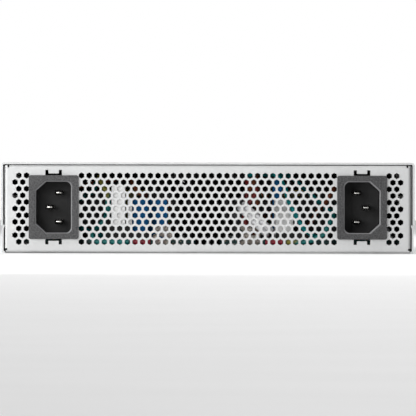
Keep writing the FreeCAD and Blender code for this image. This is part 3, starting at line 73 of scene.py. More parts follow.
# ======================================================================================
# Material nodes
# ======================================================================================
class Look:
    """A principled material built from noise, ramps and bump in object space (metres)."""
    MIX_FIRST, MIX_SECOND, MIX_RESULT = 6, 7, 2          # colour sockets of a Mix node

    def __init__(self, name, base, rough, metallic=0.0, **sockets):
        self.material = bpy.data.materials.new(name)
        self.material.use_nodes = True
        self.tree = self.material.node_tree
        self.shader = self.tree.nodes["Principled BSDF"]
        self.shader.inputs["Base Color"].default_value = (*base, 1.0)
        self.shader.inputs["Roughness"].default_value = rough
        self.shader.inputs["Metallic"].default_value = metallic
        for socket, value in sockets.items():
            self.shader.inputs[socket.replace("_", " ")].default_value = value
        self.place = self.node("ShaderNodeTexCoord").outputs["Object"]
        self.height = None

    def node(self, kind, **settings):
        made = self.tree.nodes.new(kind)
        for key, value in settings.items():
            setattr(made, key, value)
        return made

    def link(self, source, target):
        self.tree.links.new(source, target)

    def stretched(self, scale):
        mapping = self.node("ShaderNodeMapping")
        mapping.inputs["Scale"].default_value = scale
        self.link(self.place, mapping.inputs["Vector"])
        return mapping.outputs["Vector"]

    def noise(self, size, detail=3.0, stretch=(1, 1, 1)):
        """Noise whose grains are about that size, in metres."""
        texture = self.node("ShaderNodeTexNoise")
        texture.inputs["Scale"].default_value = 1.0 / size
        texture.inputs["Detail"].default_value = detail
        self.link(self.stretched(stretch), texture.inputs["Vector"])
        return texture.outputs["Fac"]

    def cells(self, size):
        """Distance from the centre of cells about that size, in metres."""
        texture = self.node("ShaderNodeTexVoronoi", feature="F1")
        texture.inputs["Scale"].default_value = 1.0 / size
        self.link(self.stretched((1, 1, 1)), texture.inputs["Vector"])
        return texture.outputs["Distance"]

    def waves(self, size, direction="X", distort=0.0):
        """Soft bands, each about that wide in metres."""
        texture = self.node("ShaderNodeTexWave", bands_direction=direction)
        texture.inputs["Scale"].default_value = math.pi / (10 * size)
        texture.inputs["Distortion"].default_value = distort
        self.link(self.place, texture.inputs["Vector"])
        return texture.outputs["Fac"]

    def remap(self, value, low, high, from_low=0.3, from_high=0.7):
        """The value's stretch from_low..from_high laid out over low..high, clamped."""
        ranged = self.node("ShaderNodeMapRange")
        self.link(value, ranged.inputs["Value"])
        for socket, number in (("From Min", from_low), ("From Max", from_high),
                               ("To Min", low), ("To Max", high)):
            ranged.inputs[socket].default_value = number
        return ranged.outputs["Result"]

    def depth_ramp(self, low, high, start, end):
        """Ramps from low to high between two depths, in millimetres inwards of the rear face."""
        parts = self.node("ShaderNodeSeparateXYZ")
        self.link(self.place, parts.inputs["Vector"])
        return self.remap(parts.outputs["Y"], low, high, REAR_FACE - start * MM, REAR_FACE - end * MM)

    def blend(self, factor, first, second):
        mixed = self.node("ShaderNodeMix", data_type="RGBA")
        self.link(factor, mixed.inputs["Factor"])
        for socket, colour in ((mixed.inputs[self.MIX_FIRST], first),
                               (mixed.inputs[self.MIX_SECOND], second)):
            if isinstance(colour, tuple):
                socket.default_value = (*colour, 1.0)
            else:
                self.link(colour, socket)
        return mixed.outputs[self.MIX_RESULT]

    def colour(self, socket):
        self.link(socket, self.shader.inputs["Base Color"])
        return self

    def roughness(self, socket):
        self.link(socket, self.shader.inputs["Roughness"])
        return self

    def bump(self, height, depth, strength=1.0):
        """Adds relief of that depth in metres on top of any earlier relief."""
        bump = self.node("ShaderNodeBump")
        bump.inputs["Strength"].default_value = strength
        bump.inputs["Distance"].default_value = depth
        self.link(height, bump.inputs["Height"])
        if self.height is not None:
            self.link(self.height, bump.inputs["Normal"])
        self.height = bump.outputs["Normal"]
        self.link(self.height, self.shader.inputs["Normal"])
        return self


def shade(colour, factor):
    return tuple(min(1.0, c * factor) for c in colour)


def plated_sheet(name, base, rough=0.42):
    """Zinc-plated steel: broad soft cloudiness, fine crystalline grain, faint rolling lines."""
    look = Look(name, base, rough, metallic=1.0)
    cloud = look.noise(0.022, 2.0)
    grain = look.noise(0.0009, 4.0)
    rolled = look.noise(0.0012, 2.0, stretch=(1.0, 0.04, 1.0))
    body = look.blend(look.remap(cloud, 0, 1), shade(base, 0.94), shade(base, 1.04))
    body = look.blend(look.remap(grain, 0, 0.5), body, shade(base, 1.12))
    body = look.blend(look.remap(rolled, 0.0, 0.25), body, shade(base, 0.88))
    look.colour(body)
    look.roughness(look.remap(grain, rough - 0.06, rough + 0.08))
    look.bump(grain, 0.00003, 0.35)
    return look.bump(rolled, 0.00002, 0.25).material


def bright_metal(name, base, rough=0.28, streak=0.08):
    """Plated or turned metal with fine streaks and slight tarnish."""
    look = Look(name, base, rough, metallic=1.0)
    fine = look.noise(0.0006, 3.0, stretch=(1.0, streak, 1.0))
    tarnish = look.noise(0.004, 3.0)
    look.colour(look.blend(look.remap(tarnish, 0, 1), shade(base, 0.82), shade(base, 1.06)))
    look.roughness(look.remap(fine, rough - 0.05, rough + 0.12))
    return look.bump(fine, 0.00001, 0.3).material


def moulded(name, base, rough=0.5, grain=0.0005, depth=0.00003, **sockets):
    """Moulded plastic with a spark-eroded texture and slight flow marks."""
    look = Look(name, base, rough, **sockets)
    fine = look.noise(grain, 3.0)
    flow = look.noise(0.012, 2.0)
    look.colour(look.blend(look.remap(flow, 0, 1), shade(base, 0.85), shade(base, 1.2)))
    look.roughness(look.remap(fine, rough - 0.07, rough + 0.09))
    return look.bump(fine, depth, 0.5).material


def inlet_plastic():
    """Black moulding: eroded grain on the flange; rougher down in the recess, whose colour is darkened as
    painted shade, with a lighter band round the mouth chamfer as a painted highlight.
    """
    look = Look("inlet_black", (0.04, 0.04, 0.042), 0.36, Specular_IOR_Level=0.4)
    proud = look.depth_ramp(0.0, 1.0, 0.8, 0.1)
    fine = look.noise(0.0007, 2.0)
    flow = look.noise(0.010, 2.0)
    face = look.blend(look.remap(fine, 0, 1), (0.018, 0.018, 0.019), (0.078, 0.078, 0.080))
    # painted shade: everything more than about 0.8 mm in from the rear face, the recess walls most of all,
    # takes this darker colour
    recess_painted_shade = look.blend(look.remap(flow, 0, 1), (0.006, 0.006, 0.0063), (0.020, 0.020, 0.021))
    body = look.blend(proud, recess_painted_shade, face)
    # painted highlight: a lighter band about 0.1 to 0.7 mm in from the rear face, over the chamfer at the
    # recess mouth
    start = look.depth_ramp(0.0, 1.0, 0.70, 0.58)
    end = look.depth_ramp(1.0, 0.0, 0.15, 0.08)
    rim_painted_highlight = look.node("ShaderNodeMath", operation="MULTIPLY")
    look.link(start, rim_painted_highlight.inputs[0])
    look.link(end, rim_painted_highlight.inputs[1])
    look.colour(look.blend(rim_painted_highlight.outputs["Value"], body, (0.17, 0.17, 0.175)))
    look.roughness(look.remap(proud, 0.60, 0.37, 0.0, 1.0))
    return look.bump(fine, 0.00008, 0.7).material


EARTH_BAND_SCALE, EARTH_BAND_PHASE = 11.53, 2.98


def earth_insulation(name, green, yellow):
    """Two-colour earth lead: broad green bands with narrower yellow ones."""
    look = Look(name, green, 0.45, Coat_Weight=0.1, Coat_Roughness=0.3)
    bands = look.node("ShaderNodeTexWave", bands_direction="DIAGONAL")
    bands.inputs["Scale"].default_value = EARTH_BAND_SCALE
    bands.inputs["Phase Offset"].default_value = EARTH_BAND_PHASE
    look.link(look.place, bands.inputs["Vector"])
    scuff = look.noise(0.002, 4.0)
    body = look.blend(look.remap(bands.outputs["Fac"], 0, 1, 0.80, 0.90), green, yellow)
    look.colour(look.blend(look.remap(scuff, 0, 0.3), body, shade(green, 0.5)))
    look.roughness(look.remap(scuff, 0.38, 0.55))
    return look.bump(look.noise(0.0008, 2.0), 0.00004, 0.4).material


def silicone_look():
    """Cured off-white adhesive, greyed with dust in its hollows."""
    look = Look("silicone", (0.30, 0.27, 0.24), 0.5, Subsurface_Weight=0.1, Subsurface_Scale=0.001)
    dust = look.noise(0.0016, 4.0)
    look.colour(look.blend(look.remap(dust, 0, 1), (0.22, 0.19, 0.16), (0.62, 0.57, 0.52)))
    look.roughness(look.remap(dust, 0.4, 0.65))
    return look.bump(look.noise(0.0006, 3.0), 0.00008, 0.6).material


def insulation(name, base, rough=0.42, **sockets):
    """Wire insulation: soft sheen with small scuffs."""
    look = Look(name, base, rough, **sockets)
    scuff = look.noise(0.003, 4.0)
    look.colour(look.blend(look.remap(scuff, 0, 1), shade(base, 0.8), shade(base, 1.15)))
    look.roughness(look.remap(scuff, rough - 0.08, rough + 0.12))
    return look.bump(look.noise(0.0008, 2.0), 0.00004, 0.4).material


def white_lead():
    """Pale silicone jacket with small scuffs, painted near-black as painted shade more than about 7 mm in
    from the rear panel.
    """
    look = Look("lead_white", (0.9, 0.9, 0.9), 0.5)
    near_panel_unshaded = look.depth_ramp(0.0, 1.0, 7.8, 6.5)
    scuff = look.noise(0.003, 4.0)
    jacket_pale = look.blend(look.remap(scuff, 0, 1), (0.84, 0.84, 0.86), (0.94, 0.94, 0.95))
    # painted shade: the colour the lead takes deeper inside the case, where the interior lies in shade
    interior_painted_shade = look.blend(look.remap(scuff, 0, 1), (0.035, 0.035, 0.037), (0.08, 0.08, 0.082))
    look.colour(look.blend(near_panel_unshaded, interior_painted_shade, jacket_pale))
    look.roughness(look.remap(scuff, 0.45, 0.6))
    return look.bump(look.noise(0.0008, 2.0), 0.00004, 0.4).material


def circuit_board(name, mask, copper):
    """Solder mask over traces and plated holes, with a woven laminate showing through."""
    look = Look(name, mask, 0.36, Specular_IOR_Level=0.4)
    bricks = look.node("ShaderNodeTexBrick", offset=0.37, squash=1.6, squash_frequency=3)
    look.link(look.place, bricks.inputs["Vector"])
    for socket, value in (("Scale", 1.0), ("Mortar Size", 0.00022),
                          ("Brick Width", 0.0085), ("Row Height", 0.0016)):
        bricks.inputs[socket].default_value = value
    traces = bricks.outputs["Fac"]
    vias = look.remap(look.cells(0.0032), 1.0, 0.0, 0.10, 0.16)
    weave = look.noise(0.0007, 2.0, stretch=(1.0, 1.0, 0.2))
    body = look.blend(look.remap(weave, 0, 1), shade(mask, 0.85), shade(mask, 1.15))
    body = look.blend(traces, body, shade(mask, 1.9))
    body = look.blend(vias, body, copper)
    look.colour(body)
    look.roughness(look.remap(weave, 0.26, 0.42))
    look.bump(traces, 0.00004, 0.6)
    return look.bump(weave, 0.00001, 0.3).material


def lacquered_copper(name, base):
    """Enamelled wire: copper under a clear coat that varies in depth."""
    look = Look(name, base, 0.3, metallic=0.85, Coat_Weight=0.4, Coat_Roughness=0.12)
    varied = look.noise(0.002, 3.0)
    look.colour(look.blend(look.remap(varied, 0, 1), shade(base, 0.6), shade(base, 1.25)))
    look.roughness(look.remap(varied, 0.22, 0.4))
    return look.bump(varied, 0.00002, 0.4).material


def ferrite_look():
    """Sintered ferrite: dark, dull and speckled."""
    look = Look("ferrite", (0.03, 0.03, 0.033), 0.6, Specular_IOR_Level=0.25)
    speck = look.noise(0.0004, 4.0)
    look.colour(look.blend(look.remap(speck, 0, 1), (0.014, 0.014, 0.016), (0.05, 0.05, 0.055)))
    look.roughness(look.remap(speck, 0.5, 0.75))
    return look.bump(look.noise(0.0012, 4.0), 0.00006, 0.6).material


def tape_look():
    """Overlapping turns of polyester tape, with the wire ridges showing through."""
    look = Look("winding_tape", (0.70, 0.52, 0.09), 0.25, Coat_Weight=0.5, Coat_Roughness=0.1)
    ridges = look.waves(0.0009, "Y", 0.6)
    laps = look.waves(0.007, "Y", 0.3)
    body = look.blend(ridges, (0.62, 0.42, 0.06), (0.80, 0.62, 0.14))
    look.colour(look.blend(look.remap(laps, 0, 0.5, 0.75, 0.95), body, (0.5, 0.35, 0.05)))
    return look.bump(ridges, 0.00012, 0.5).material


def sleeve_look():
    """Shrink sleeve of a capacitor: dark, glossy, with a pale polarity band."""
    look = Look("capacitor_sleeve", (0.01, 0.011, 0.014), 0.3, Specular_IOR_Level=0.25)
    band = look.waves(0.06, "X", 0.0)
    scuff = look.noise(0.002, 3.0)
    body = look.blend(look.remap(scuff, 0, 1), (0.013, 0.012, 0.012), (0.028, 0.027, 0.030))
    look.colour(look.blend(look.remap(band, 0, 1, 0.985, 0.99), body, (0.10, 0.10, 0.105)))
    look.roughness(look.remap(scuff, 0.26, 0.4))
    return look.bump(scuff, 0.00004, 0.3).material


def clear_pipe():
    """Hazy clear plastic."""
    look = Look("light_pipe", (0.85, 0.92, 0.90), 0.18, Transmission_Weight=0.75, IOR=1.58)
    haze = look.noise(0.001, 2.0)
    look.roughness(look.remap(haze, 0.12, 0.3))
    return look.bump(haze, 0.00002, 0.3).material


LOOKS = {
    "zinc_steel": plated_sheet("zinc_steel", (0.60, 0.605, 0.605), 0.58),
    "front_finish": plated_sheet("front_finish", (0.58, 0.59, 0.60), 0.38),
    "fastener_steel": bright_metal("fastener_steel", (0.62, 0.62, 0.60)),
    "inlet_black": inlet_plastic(),
    "pin_nickel": bright_metal("pin_nickel", (0.66, 0.65, 0.62), 0.20),
    # painted_black, on the fan bracket and guards: a black finish that also stands in for the shade deep
    # inside the case (painted shade)
    "painted_black": moulded("painted_black", (0.036, 0.031, 0.029), 0.6, 0.0009, Specular_IOR_Level=0.3),
    "board_blue_green": circuit_board("board_blue_green", (0.004, 0.055, 0.052), (0.30, 0.28, 0.20)),
    "board_dark": circuit_board("board_dark", (0.008, 0.055, 0.028), (0.55, 0.42, 0.18)),
    "can_sleeve": sleeve_look(),
    "film_blue": moulded("film_blue", (0.002, 0.120, 0.34), 0.5, 0.003, 0.0001, Specular_IOR_Level=0.15),
    "box_white": moulded("box_white", (0.86, 0.86, 0.85), 0.4),
    "ferrite": ferrite_look(),
    "tape_yellow": tape_look(),
    # copper_wire: copper darkened partly as painted shade for the windings inside the supply
    "copper_wire": lacquered_copper("copper_wire", (0.22, 0.06, 0.025)),
    "heatsink_aluminium": bright_metal("heatsink_aluminium", (0.70, 0.71, 0.72), 0.4, 0.03),
    "moulding_black": moulded("moulding_black", (0.020, 0.019, 0.019), 0.55, Specular_IOR_Level=0.3),
    "moulding_white": moulded("moulding_white", (0.74, 0.71, 0.60), 0.4),
    "varistor_red": moulded("varistor_red", (0.36, 0.015, 0.035), 0.35, 0.002, 0.00008, Coat_Weight=0.2),
    "lead_brown": insulation("lead_brown", (0.17, 0.045, 0.018), Specular_IOR_Level=0.2),
    "lead_teal": insulation("lead_teal", (0.003, 0.25, 0.26), Specular_IOR_Level=0.2),
    "lead_green": earth_insulation("lead_green", (0.004, 0.22, 0.21), (0.30, 0.26, 0.03)),
    "lead_white": white_lead(),
    "lead_red": insulation("lead_red", (0.22, 0.015, 0.015)),
    "fan_black": moulded("fan_black", (0.026, 0.024, 0.023), 0.45, 0.0008, Specular_IOR_Level=0.35),
    # anodised_black and screw_black: dark finishes that also stand in for the shade deep inside the case
    # (painted shade)
    "anodised_black": bright_metal("anodised_black", (0.045, 0.043, 0.045), 0.5, 0.03),
    "screw_black": bright_metal("screw_black", (0.035, 0.035, 0.036), 0.4),
    "bearing_bronze": bright_metal("bearing_bronze", (0.55, 0.36, 0.16), 0.4),
    "stator_copper": lacquered_copper("stator_copper", (0.55, 0.22, 0.09)),
    "shaft_steel": bright_metal("shaft_steel", (0.66, 0.66, 0.66), 0.18),
    "chip_black": moulded("chip_black", (0.03, 0.03, 0.033), 0.5),
    "cage_nickel": bright_metal("cage_nickel", (0.70, 0.69, 0.64), 0.3),
    "light_pipe": clear_pipe(),
}
CONTACT_GOLD = bright_metal("contact_gold", (0.80, 0.55, 0.20), 0.25)
SOLDER = bright_metal("solder", (0.72, 0.72, 0.72), 0.3)
BOOT_CLEAR = moulded("terminal_boot", (0.55, 0.57, 0.58), 0.35, 0.001)
SILICONE = silicone_look()
CORE_GREEN = moulded("core_green", (0.03, 0.10, 0.05), 0.5)
PART_TAN = moulded("part_tan", (0.45, 0.33, 0.20), 0.5, 0.0004)
CASE_GREY = moulded("case_grey", (0.16, 0.16, 0.17), 0.4, 0.0005)


# ======================================================================================
# Mesh helpers
# ======================================================================================
WELD = 2e-6            # metres: corners closer than this are one
FLAT = math.radians(0.6)


def add_piece(name, mesh, material, body=CHASSIS, stands_for=()):
    """Puts a finished mesh in the scene on its body, with its material, and hides the CAD nodes it stands
    for.
    """
    piece = bpy.data.objects.new(name, mesh)
    bpy.context.scene.collection.objects.link(piece)
    mesh.materials.clear()
    mesh.materials.append(material)
    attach(piece, body)
    if stands_for:
        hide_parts(*stands_for)
    return piece


def with_modifiers(mesh, name, *modifiers):
    """The mesh after a stack of modifiers, each given as (type, settings)."""
    holder = bpy.data.objects.new(name + ".making", mesh)
    bpy.context.scene.collection.objects.link(holder)
    for kind, settings in modifiers:
        modifier = holder.modifiers.new(kind, kind)
        for key, value in settings.items():
            setattr(modifier, key, value)
    evaluated = holder.evaluated_get(bpy.context.evaluated_depsgraph_get())
    result = bpy.data.meshes.new_from_object(evaluated)
    bpy.data.objects.remove(holder)
    bpy.data.meshes.remove(mesh)
    result.name = name
    return result


def edge_rounding(width, segments=2, angle=30.0):
    """Modifier that rounds edges sharper than the angle, in degrees."""
    return ("BEVEL", {"width": width, "segments": segments, "limit_method": "ANGLE",
                      "angle_limit": math.radians(angle), "use_clamp_overlap": True})


def smooth_by_angle(mesh, degrees=35.0):
    """Smooth shading that keeps flat faces flat: large faces win at a rounded edge."""
    mesh.shade_smooth()
    mesh.set_sharp_from_angle(angle=math.radians(degrees))
    return with_modifiers(mesh, mesh.name, ("WEIGHTED_NORMAL", {"keep_sharp": True, "weight": 80}))


def joined_copy(node):
    """The CAD node's mesh with its seams welded and flat faces made whole."""
    mesh = frame["nodes"][node].data.copy()
    shell = bmesh.new()
    shell.from_mesh(mesh)
    bmesh.ops.remove_doubles(shell, verts=shell.verts, dist=WELD)
    bmesh.ops.dissolve_limit(shell, angle_limit=FLAT, verts=shell.verts, edges=shell.edges)
    for layer in list(shell.loops.layers.uv.values()):
        shell.loops.layers.uv.remove(layer)
    shell.to_mesh(mesh)
    shell.free()
    return mesh


def rounded_node(node, width):
    """Stands in for a CAD node with its sharp edges broken, same shape and finish."""
    mesh = with_modifiers(joined_copy(node), node + "_detail", edge_rounding(width))
    mesh = smooth_by_angle(mesh, 50.0)
    return add_piece(node + "_detail", mesh, LOOKS[slots[node]], node_body[node], (node,))


def circle(sides):
    """Angles of evenly spaced points around a circle."""
    return [math.tau * k / sides for k in range(sides)]


class Solids:
    """Collects closed shapes, given in millimetres, into one mesh."""

    def __init__(self):
        self.shell = bmesh.new()

    def loft(self, rings):
        """Skin through rings of equal length, closed at both ends."""
        rows = [[self.shell.verts.new(Vector(corner) * MM) for corner in ring] for ring in rings]
        count = len(rows[0])
        for lower, upper in zip(rows, rows[1:]):
            for i in range(count):
                j = (i + 1) % count
                self.shell.faces.new((lower[i], lower[j], upper[j], upper[i]))
        self.shell.faces.new(rows[0][::-1])
        self.shell.faces.new(rows[-1])
        return self

    def box(self, low, high):
        """Box between two opposite corners."""
        (x0, y0, z0), (x1, y1, z1) = low, high
        ring = [(x0, y0), (x1, y0), (x1, y1), (x0, y1)]
        return self.loft([[(x, y, z) for x, y in ring] for z in (z0, z1)])

    def block(self, centre, size):
        """Box of that size about a centre."""
        low = [c - s / 2 for c, s in zip(centre, size)]
        high = [c + s / 2 for c, s in zip(centre, size)]
        return self.box(low, high)

    def drum(self, start, end, radii, sides=16):
        """Round bar between two points; radii are given at even steps along it."""
        start, end = Vector(start), Vector(end)
        turn = (end - start).to_track_quat("Z", "Y")
        rings = []
        for i, radius in enumerate(radii):
            at = start.lerp(end, i / (len(radii) - 1))
            rings.append([at + turn @ Vector((radius * math.cos(a), radius * math.sin(a), 0.0))
                          for a in circle(sides)])
        return self.loft(rings)

    def stepped(self, start, way, profile, sides=20):
        """Turned shape: (distance, radius) pairs along a direction from the start."""
        start, way = Vector(start), Vector(way)
        turn = way.to_track_quat("Z", "Y")
        rings = [[start + way * reach + turn @ Vector((radius * math.cos(a), radius * math.sin(a), 0.0))
                  for a in circle(sides)] for reach, radius in profile]
        return self.loft(rings)

    def wire(self, points, radius, sides=7):
        """Round wire through many points."""
        points = [Vector(p) for p in points]
        rings = []
        side = Vector((0, 0, 1))
        for i, point in enumerate(points):
            way = (points[min(i + 1, len(points) - 1)] - points[max(i - 1, 0)]).normalized()
            side = side - way * side.dot(way)
            if side.length < 1e-6:
                side = way.orthogonal()
            side.normalize()
            other = way.cross(side)
            rings.append([point + (side * math.cos(a) + other * math.sin(a)) * radius
                          for a in circle(sides)])
        return self.loft(rings)

    def strip(self, points, width, thick, across):
        """Flat spring strip through points that lie in the plane square to `across`."""
        across = Vector(across)
        points = [Vector(p) for p in points]
        rings = []
        for i, point in enumerate(points):
            way = (points[min(i + 1, len(points) - 1)] - points[max(i - 1, 0)]).normalized()
            out = way.cross(across) * (thick / 2)
            side = across * (width / 2)
            rings.append([point - side - out, point + side - out, point + side + out, point - side + out])
        return self.loft(rings)

    def mesh(self, name, *modifiers, angle=35.0):
        """Hands over the collected shapes as one shaded mesh; the collector is spent."""
        bmesh.ops.recalc_face_normals(self.shell, faces=self.shell.faces)
        mesh = bpy.data.meshes.new(name)
        self.shell.to_mesh(mesh)
        self.shell.free()
        if modifiers:
            mesh = with_modifiers(mesh, name, *modifiers)
        return smooth_by_angle(mesh, angle)


def solid_boxes(node):
    """(low, high) in millimetres of each separate solid of a CAD node."""
    mesh = frame["nodes"][node].data
    shell = bmesh.new()
    shell.from_mesh(mesh)
    bmesh.ops.remove_doubles(shell, verts=shell.verts, dist=WELD)
    seen, found = set(), []
    for first in shell.verts:
        if first.index in seen:
            continue
        group, queue = [], [first]
        seen.add(first.index)
        while queue:
            vert = queue.pop()
            group.append(vert.co)
            for edge in vert.link_edges:
                other = edge.other_vert(vert)
                if other.index not in seen:
                    seen.add(other.index)
                    queue.append(other)
        low = Vector(min(c[k] for c in group) for k in range(3)) / MM
        high = Vector(max(c[k] for c in group) for k in range(3)) / MM
        found.append((low, high))
    shell.free()
    return found


# ======================================================================================
# Pieces: CAD nodes with broken edges
# ======================================================================================
EDGE_BREAKS = {
    "rear_panel": 0.10, "front_panel": 0.10, "chassis_base": 0.12, "top_cover": 0.15,
    "inlet_housing_left": 0.18, "inlet_housing_right": 0.18, "inlet_pins_left": 0.05,
    "inlet_pins_right": 0.05, "cover_screws": 0.08, "network_jacks": 0.10, "usb_port": 0.08,
    "light_pipes": 0.12, "reset_button": 0.15,
    "fan_frames": 0.25, "fan_rotor_1": 0.12, "fan_rotor_2": 0.12, "fan_rotor_3": 0.12,
    "fan_rotor_4": 0.12, "fan_screws": 0.15, "board_screws": 0.15, "psu_input_terminals": 0.25,
    "psu_bulk_capacitors": 0.6, "switch_heatsink": 0.10, "processor_heatsink": 0.10,
    "psu_relays": 0.25, "psu_film_capacitors": 0.45, "psu_transformer_cores": 0.30,
    "psu_transformer_windings": 0.35, "psu_heatsinks": 0.12, "psu_choke_posts": 0.15,
    "psu_varistors": 0.20, "board_connectors": 0.12, "power_connectors": 0.15,
    "memory_module": 0.05, "switch_chip": 0.10, "panel_rivets": 0.05,
}
for node_name, width_mm in EDGE_BREAKS.items():
    rounded_node(node_name, width_mm * MM)

for node_name, thing in frame["nodes"].items():
    if node_name not in EDGE_BREAKS:
        thing.data.materials.clear()
        thing.data.materials.append(LOOKS[slots[node_name]])


# ======================================================================================
# Pieces: rear
# ======================================================================================
def adhesive():
    """Beads of silicone squeezed out between the parts on the rear edge of each board."""
    # x, z and radius of each bead
    beads = ((24.2, 11.9, 1.9), (25.3, 7.9, 1.4), (20.3, 12.1, 1.7), (18.3, 8.9, 1.8), (21.9, 8.9, 1.3),
             (23.7, 5.2, 1.7), (19.9, 5.2, 1.7), (22.2, 11.2, 1.4), (-17.1, 12.0, 1.3), (-20.2, 11.6, 1.3),
             (-18.7, 8.1, 1.8), (-22.1, 7.5, 1.4), (-24.4, 8.9, 1.3), (-20.2, 5.3, 1.6), (-23.9, 5.6, 1.7),
             (-16.9, 5.2, 1.3), (-24.2, 12.2, 1.3), (-18.6, 10.2, 1.1))
    edge_y = 246.9
    ripple, ripple_x, ripple_z, slant = 0.16 * MM, 2100, 2600, 900
    chance = random.Random(4)
    holder = bmesh.new()
    for x, z, radius in beads:
        y = edge_y + chance.uniform(-0.5, 0.5)
        shape = Matrix.Translation(Vector((x, y, z)) * MM) @ Matrix.Diagonal((1.15, 0.95, 1.0, 1.0))
        bmesh.ops.create_icosphere(holder, subdivisions=3, radius=radius * MM, matrix=shape)
    mesh = bpy.data.meshes.new("adhesive")
    holder.to_mesh(mesh)
    holder.free()
    mesh = with_modifiers(mesh, "adhesive", ("REMESH", {"mode": "VOXEL", "voxel_size": 0.35 * MM}),
                          ("SMOOTH", {"factor": 0.5, "iterations": 4}))
    for vert in mesh.vertices:
        push = math.sin(vert.co.x * ripple_x) * math.sin(vert.co.z * ripple_z + vert.co.x * slant)
        vert.co += vert.normal * (push * ripple)
    mesh.shade_smooth()
    add_piece("adhesive", mesh, SILICONE)


def terminal_boots():
    """Clear nylon boots over the crimped tabs behind each inlet, and the crimp barrels."""
    boots, barrels = Solids(), Solids()
    for word in ("left", "right"):
        for low, high in solid_boxes("inlet_pins_" + word):
            x, z = (low.x + high.x) / 2, (low.z + high.z) / 2
            back = low.y
            rings = []
            for y, wide, tall in ((back - 2.0, 3.4, 3.4), (back + 0.5, 4.4, 3.8), (back + 2.0, 7.6, 3.0),
                                  (back + 7.6, 7.6, 3.0)):
                rings.append([(x + wide / 2 * a, y, z + tall / 2 * b)
                              for a, b in ((-1, -1), (1, -1), (1, 1), (-1, 1))])
            boots.loft(rings)
            barrels.drum((x, back - 4.5, z), (x, back - 1.6, z), (1.5, 1.7, 1.7, 1.5), 12)
    add_piece("terminal_boots", boots.mesh("terminal_boots", edge_rounding(0.5 * MM, 2)), BOOT_CLEAR)
    add_piece("crimp_barrels", barrels.mesh("crimp_barrels"), LOOKS["pin_nickel"])


def wound_chokes():
    """Ring cores with separate turns of enamelled wire, inside each CAD ring."""
    wire_r, core_steps, core_sides = 0.42, 36, 16
    turn_steps, pitch = 18, 2.15 * wire_r
    gap, span = 0.25, math.tau * 0.42                # between the two halves, and around each, radians
    cores, turns = Solids(), Solids()
    for low, high in solid_boxes("psu_chokes"):
        size = high - low
        axis = min(range(3), key=lambda k: size[k])
        section = size[axis] / 2
        ring = max(size) / 2 - section
        centre = (low + high) / 2
        u, v = [Vector([1.0 if k == other else 0.0 for k in range(3)]) for other in range(3) if other != axis]
        w = Vector([1.0 if k == axis else 0.0 for k in range(3)])
        body = section - 2 * wire_r
        core_r, reach = body * 0.98, body + wire_r

        def around(a, b, radius):
            """Point on the ring's skin: a goes along the ring, b around its section."""
            out = u * math.cos(a) + v * math.sin(a)
            return centre + out * (ring + radius * math.cos(b)) + w * (radius * math.sin(b))

        cores.loft([[around(math.tau * i / core_steps, b, core_r) for b in circle(core_sides)]
                    for i in range(core_steps + 1)])
        steps = int(math.tau * (ring - section) / pitch) // 2 * turn_steps
        for begin in (gap, math.pi + gap):
            turns.wire([around(begin + span * i / steps, math.tau * i / turn_steps, reach)
                        for i in range(steps + 1)], wire_r, 6)
    add_piece("choke_cores", cores.mesh("choke_cores"), CORE_GREEN,
              stands_for=("psu_chokes",))
    add_piece("choke_turns", turns.mesh("choke_turns", angle=60.0), LOOKS["copper_wire"])


# ======================================================================================
# Pieces: front
# ======================================================================================
CAGES = ("sfp_cages", "qsfp_cages")
CAGE_SHEET, THIN = 0.5, 1.0
MOUTH_ROWS = (0, 2)          # shelves that are the floor of a row of ports
SPRING_STEPS = 8


def box_mm(node):
    """Low and high corner of a node's box in millimetres."""
    return [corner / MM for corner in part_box(node)]


def cage_openings(node):
    """The box of a ganged cage, the left face of each wall and the underside of each shelf."""
    low, high = box_mm(node)
    plates = solid_boxes(node)
    walls = sorted(a.x for a, b in plates if b.x - a.x < THIN)
    shelves = sorted({round(a.z, 2) for a, b in plates if b.z - a.z < THIN})
    walls = [low.x] + walls + [high.x - CAGE_SHEET]
    shelves = [low.z] + shelves + [high.z - CAGE_SHEET]
    return low, high, walls, shelves


def port_mouths(walls, shelves):
    """(middle x, floor z, roof z) of each port."""
    return [((x0 + x1 + CAGE_SHEET) / 2, shelves[row] + CAGE_SHEET, shelves[row + 1])
            for row in MOUTH_ROWS for x0, x1 in zip(walls, walls[1:])]


def spring_fingers():
    """Contact fingers between the cages and the panel, and latch tongues inside each port."""
    finger_pitch, end_margin = 2.9, 0.8
    spring_shift, spring_wide = 3.6, 2.4
    tongue = ((1.0, 1.4, 0.06, 0.2), (7.5, 0.7, 0.7, 0.85))     # (depth, half width, bottom, top)

    def bow(x, y, z, step, rise):
        """Bowed spring that starts at a point and runs inwards."""
        return [(x, y + step * k, z + rise * math.sin(math.pi * k / SPRING_STEPS))
                for k in range(SPRING_STEPS + 1)]

    fingers, latches = Solids(), Solids()
    for node in CAGES:
        low, high, walls, shelves = cage_openings(node)
        front = low.y
        count = int((high.x - low.x) / finger_pitch)
        pitch = (high.x - low.x - 2 * end_margin) / count
        for i in range(count):
            x = low.x + end_margin + (i + 0.5) * pitch
            for z, way in ((high.z, 1), (low.z, -1)):
                arc = bow(x, front + 0.25, z + way * 0.05, 0.5, way * 0.2)
                fingers.strip(arc, pitch * 0.72, 0.1, (1, 0, 0))
        for middle, floor, roof in port_mouths(walls, shelves):
            for way, level in ((1, floor), (-1, roof)):
                for shift in (-spring_shift, spring_shift):
                    arc = bow(middle + shift, front + 0.6, level + way * 0.1, 0.7, way * 0.42)
                    latches.strip(arc, spring_wide, 0.12, (1, 0, 0))
            latches.loft([[(middle + side * half, front + reach, floor + rise)
                           for side, rise in ((-1, bottom), (1, bottom), (1, top), (-1, top))]
                          for reach, half, bottom, top in tongue])
    for name, solids in (("cage_fingers", fingers), ("cage_latches", latches)):
        add_piece(name, solids.mesh(name), LOOKS["cage_nickel"])


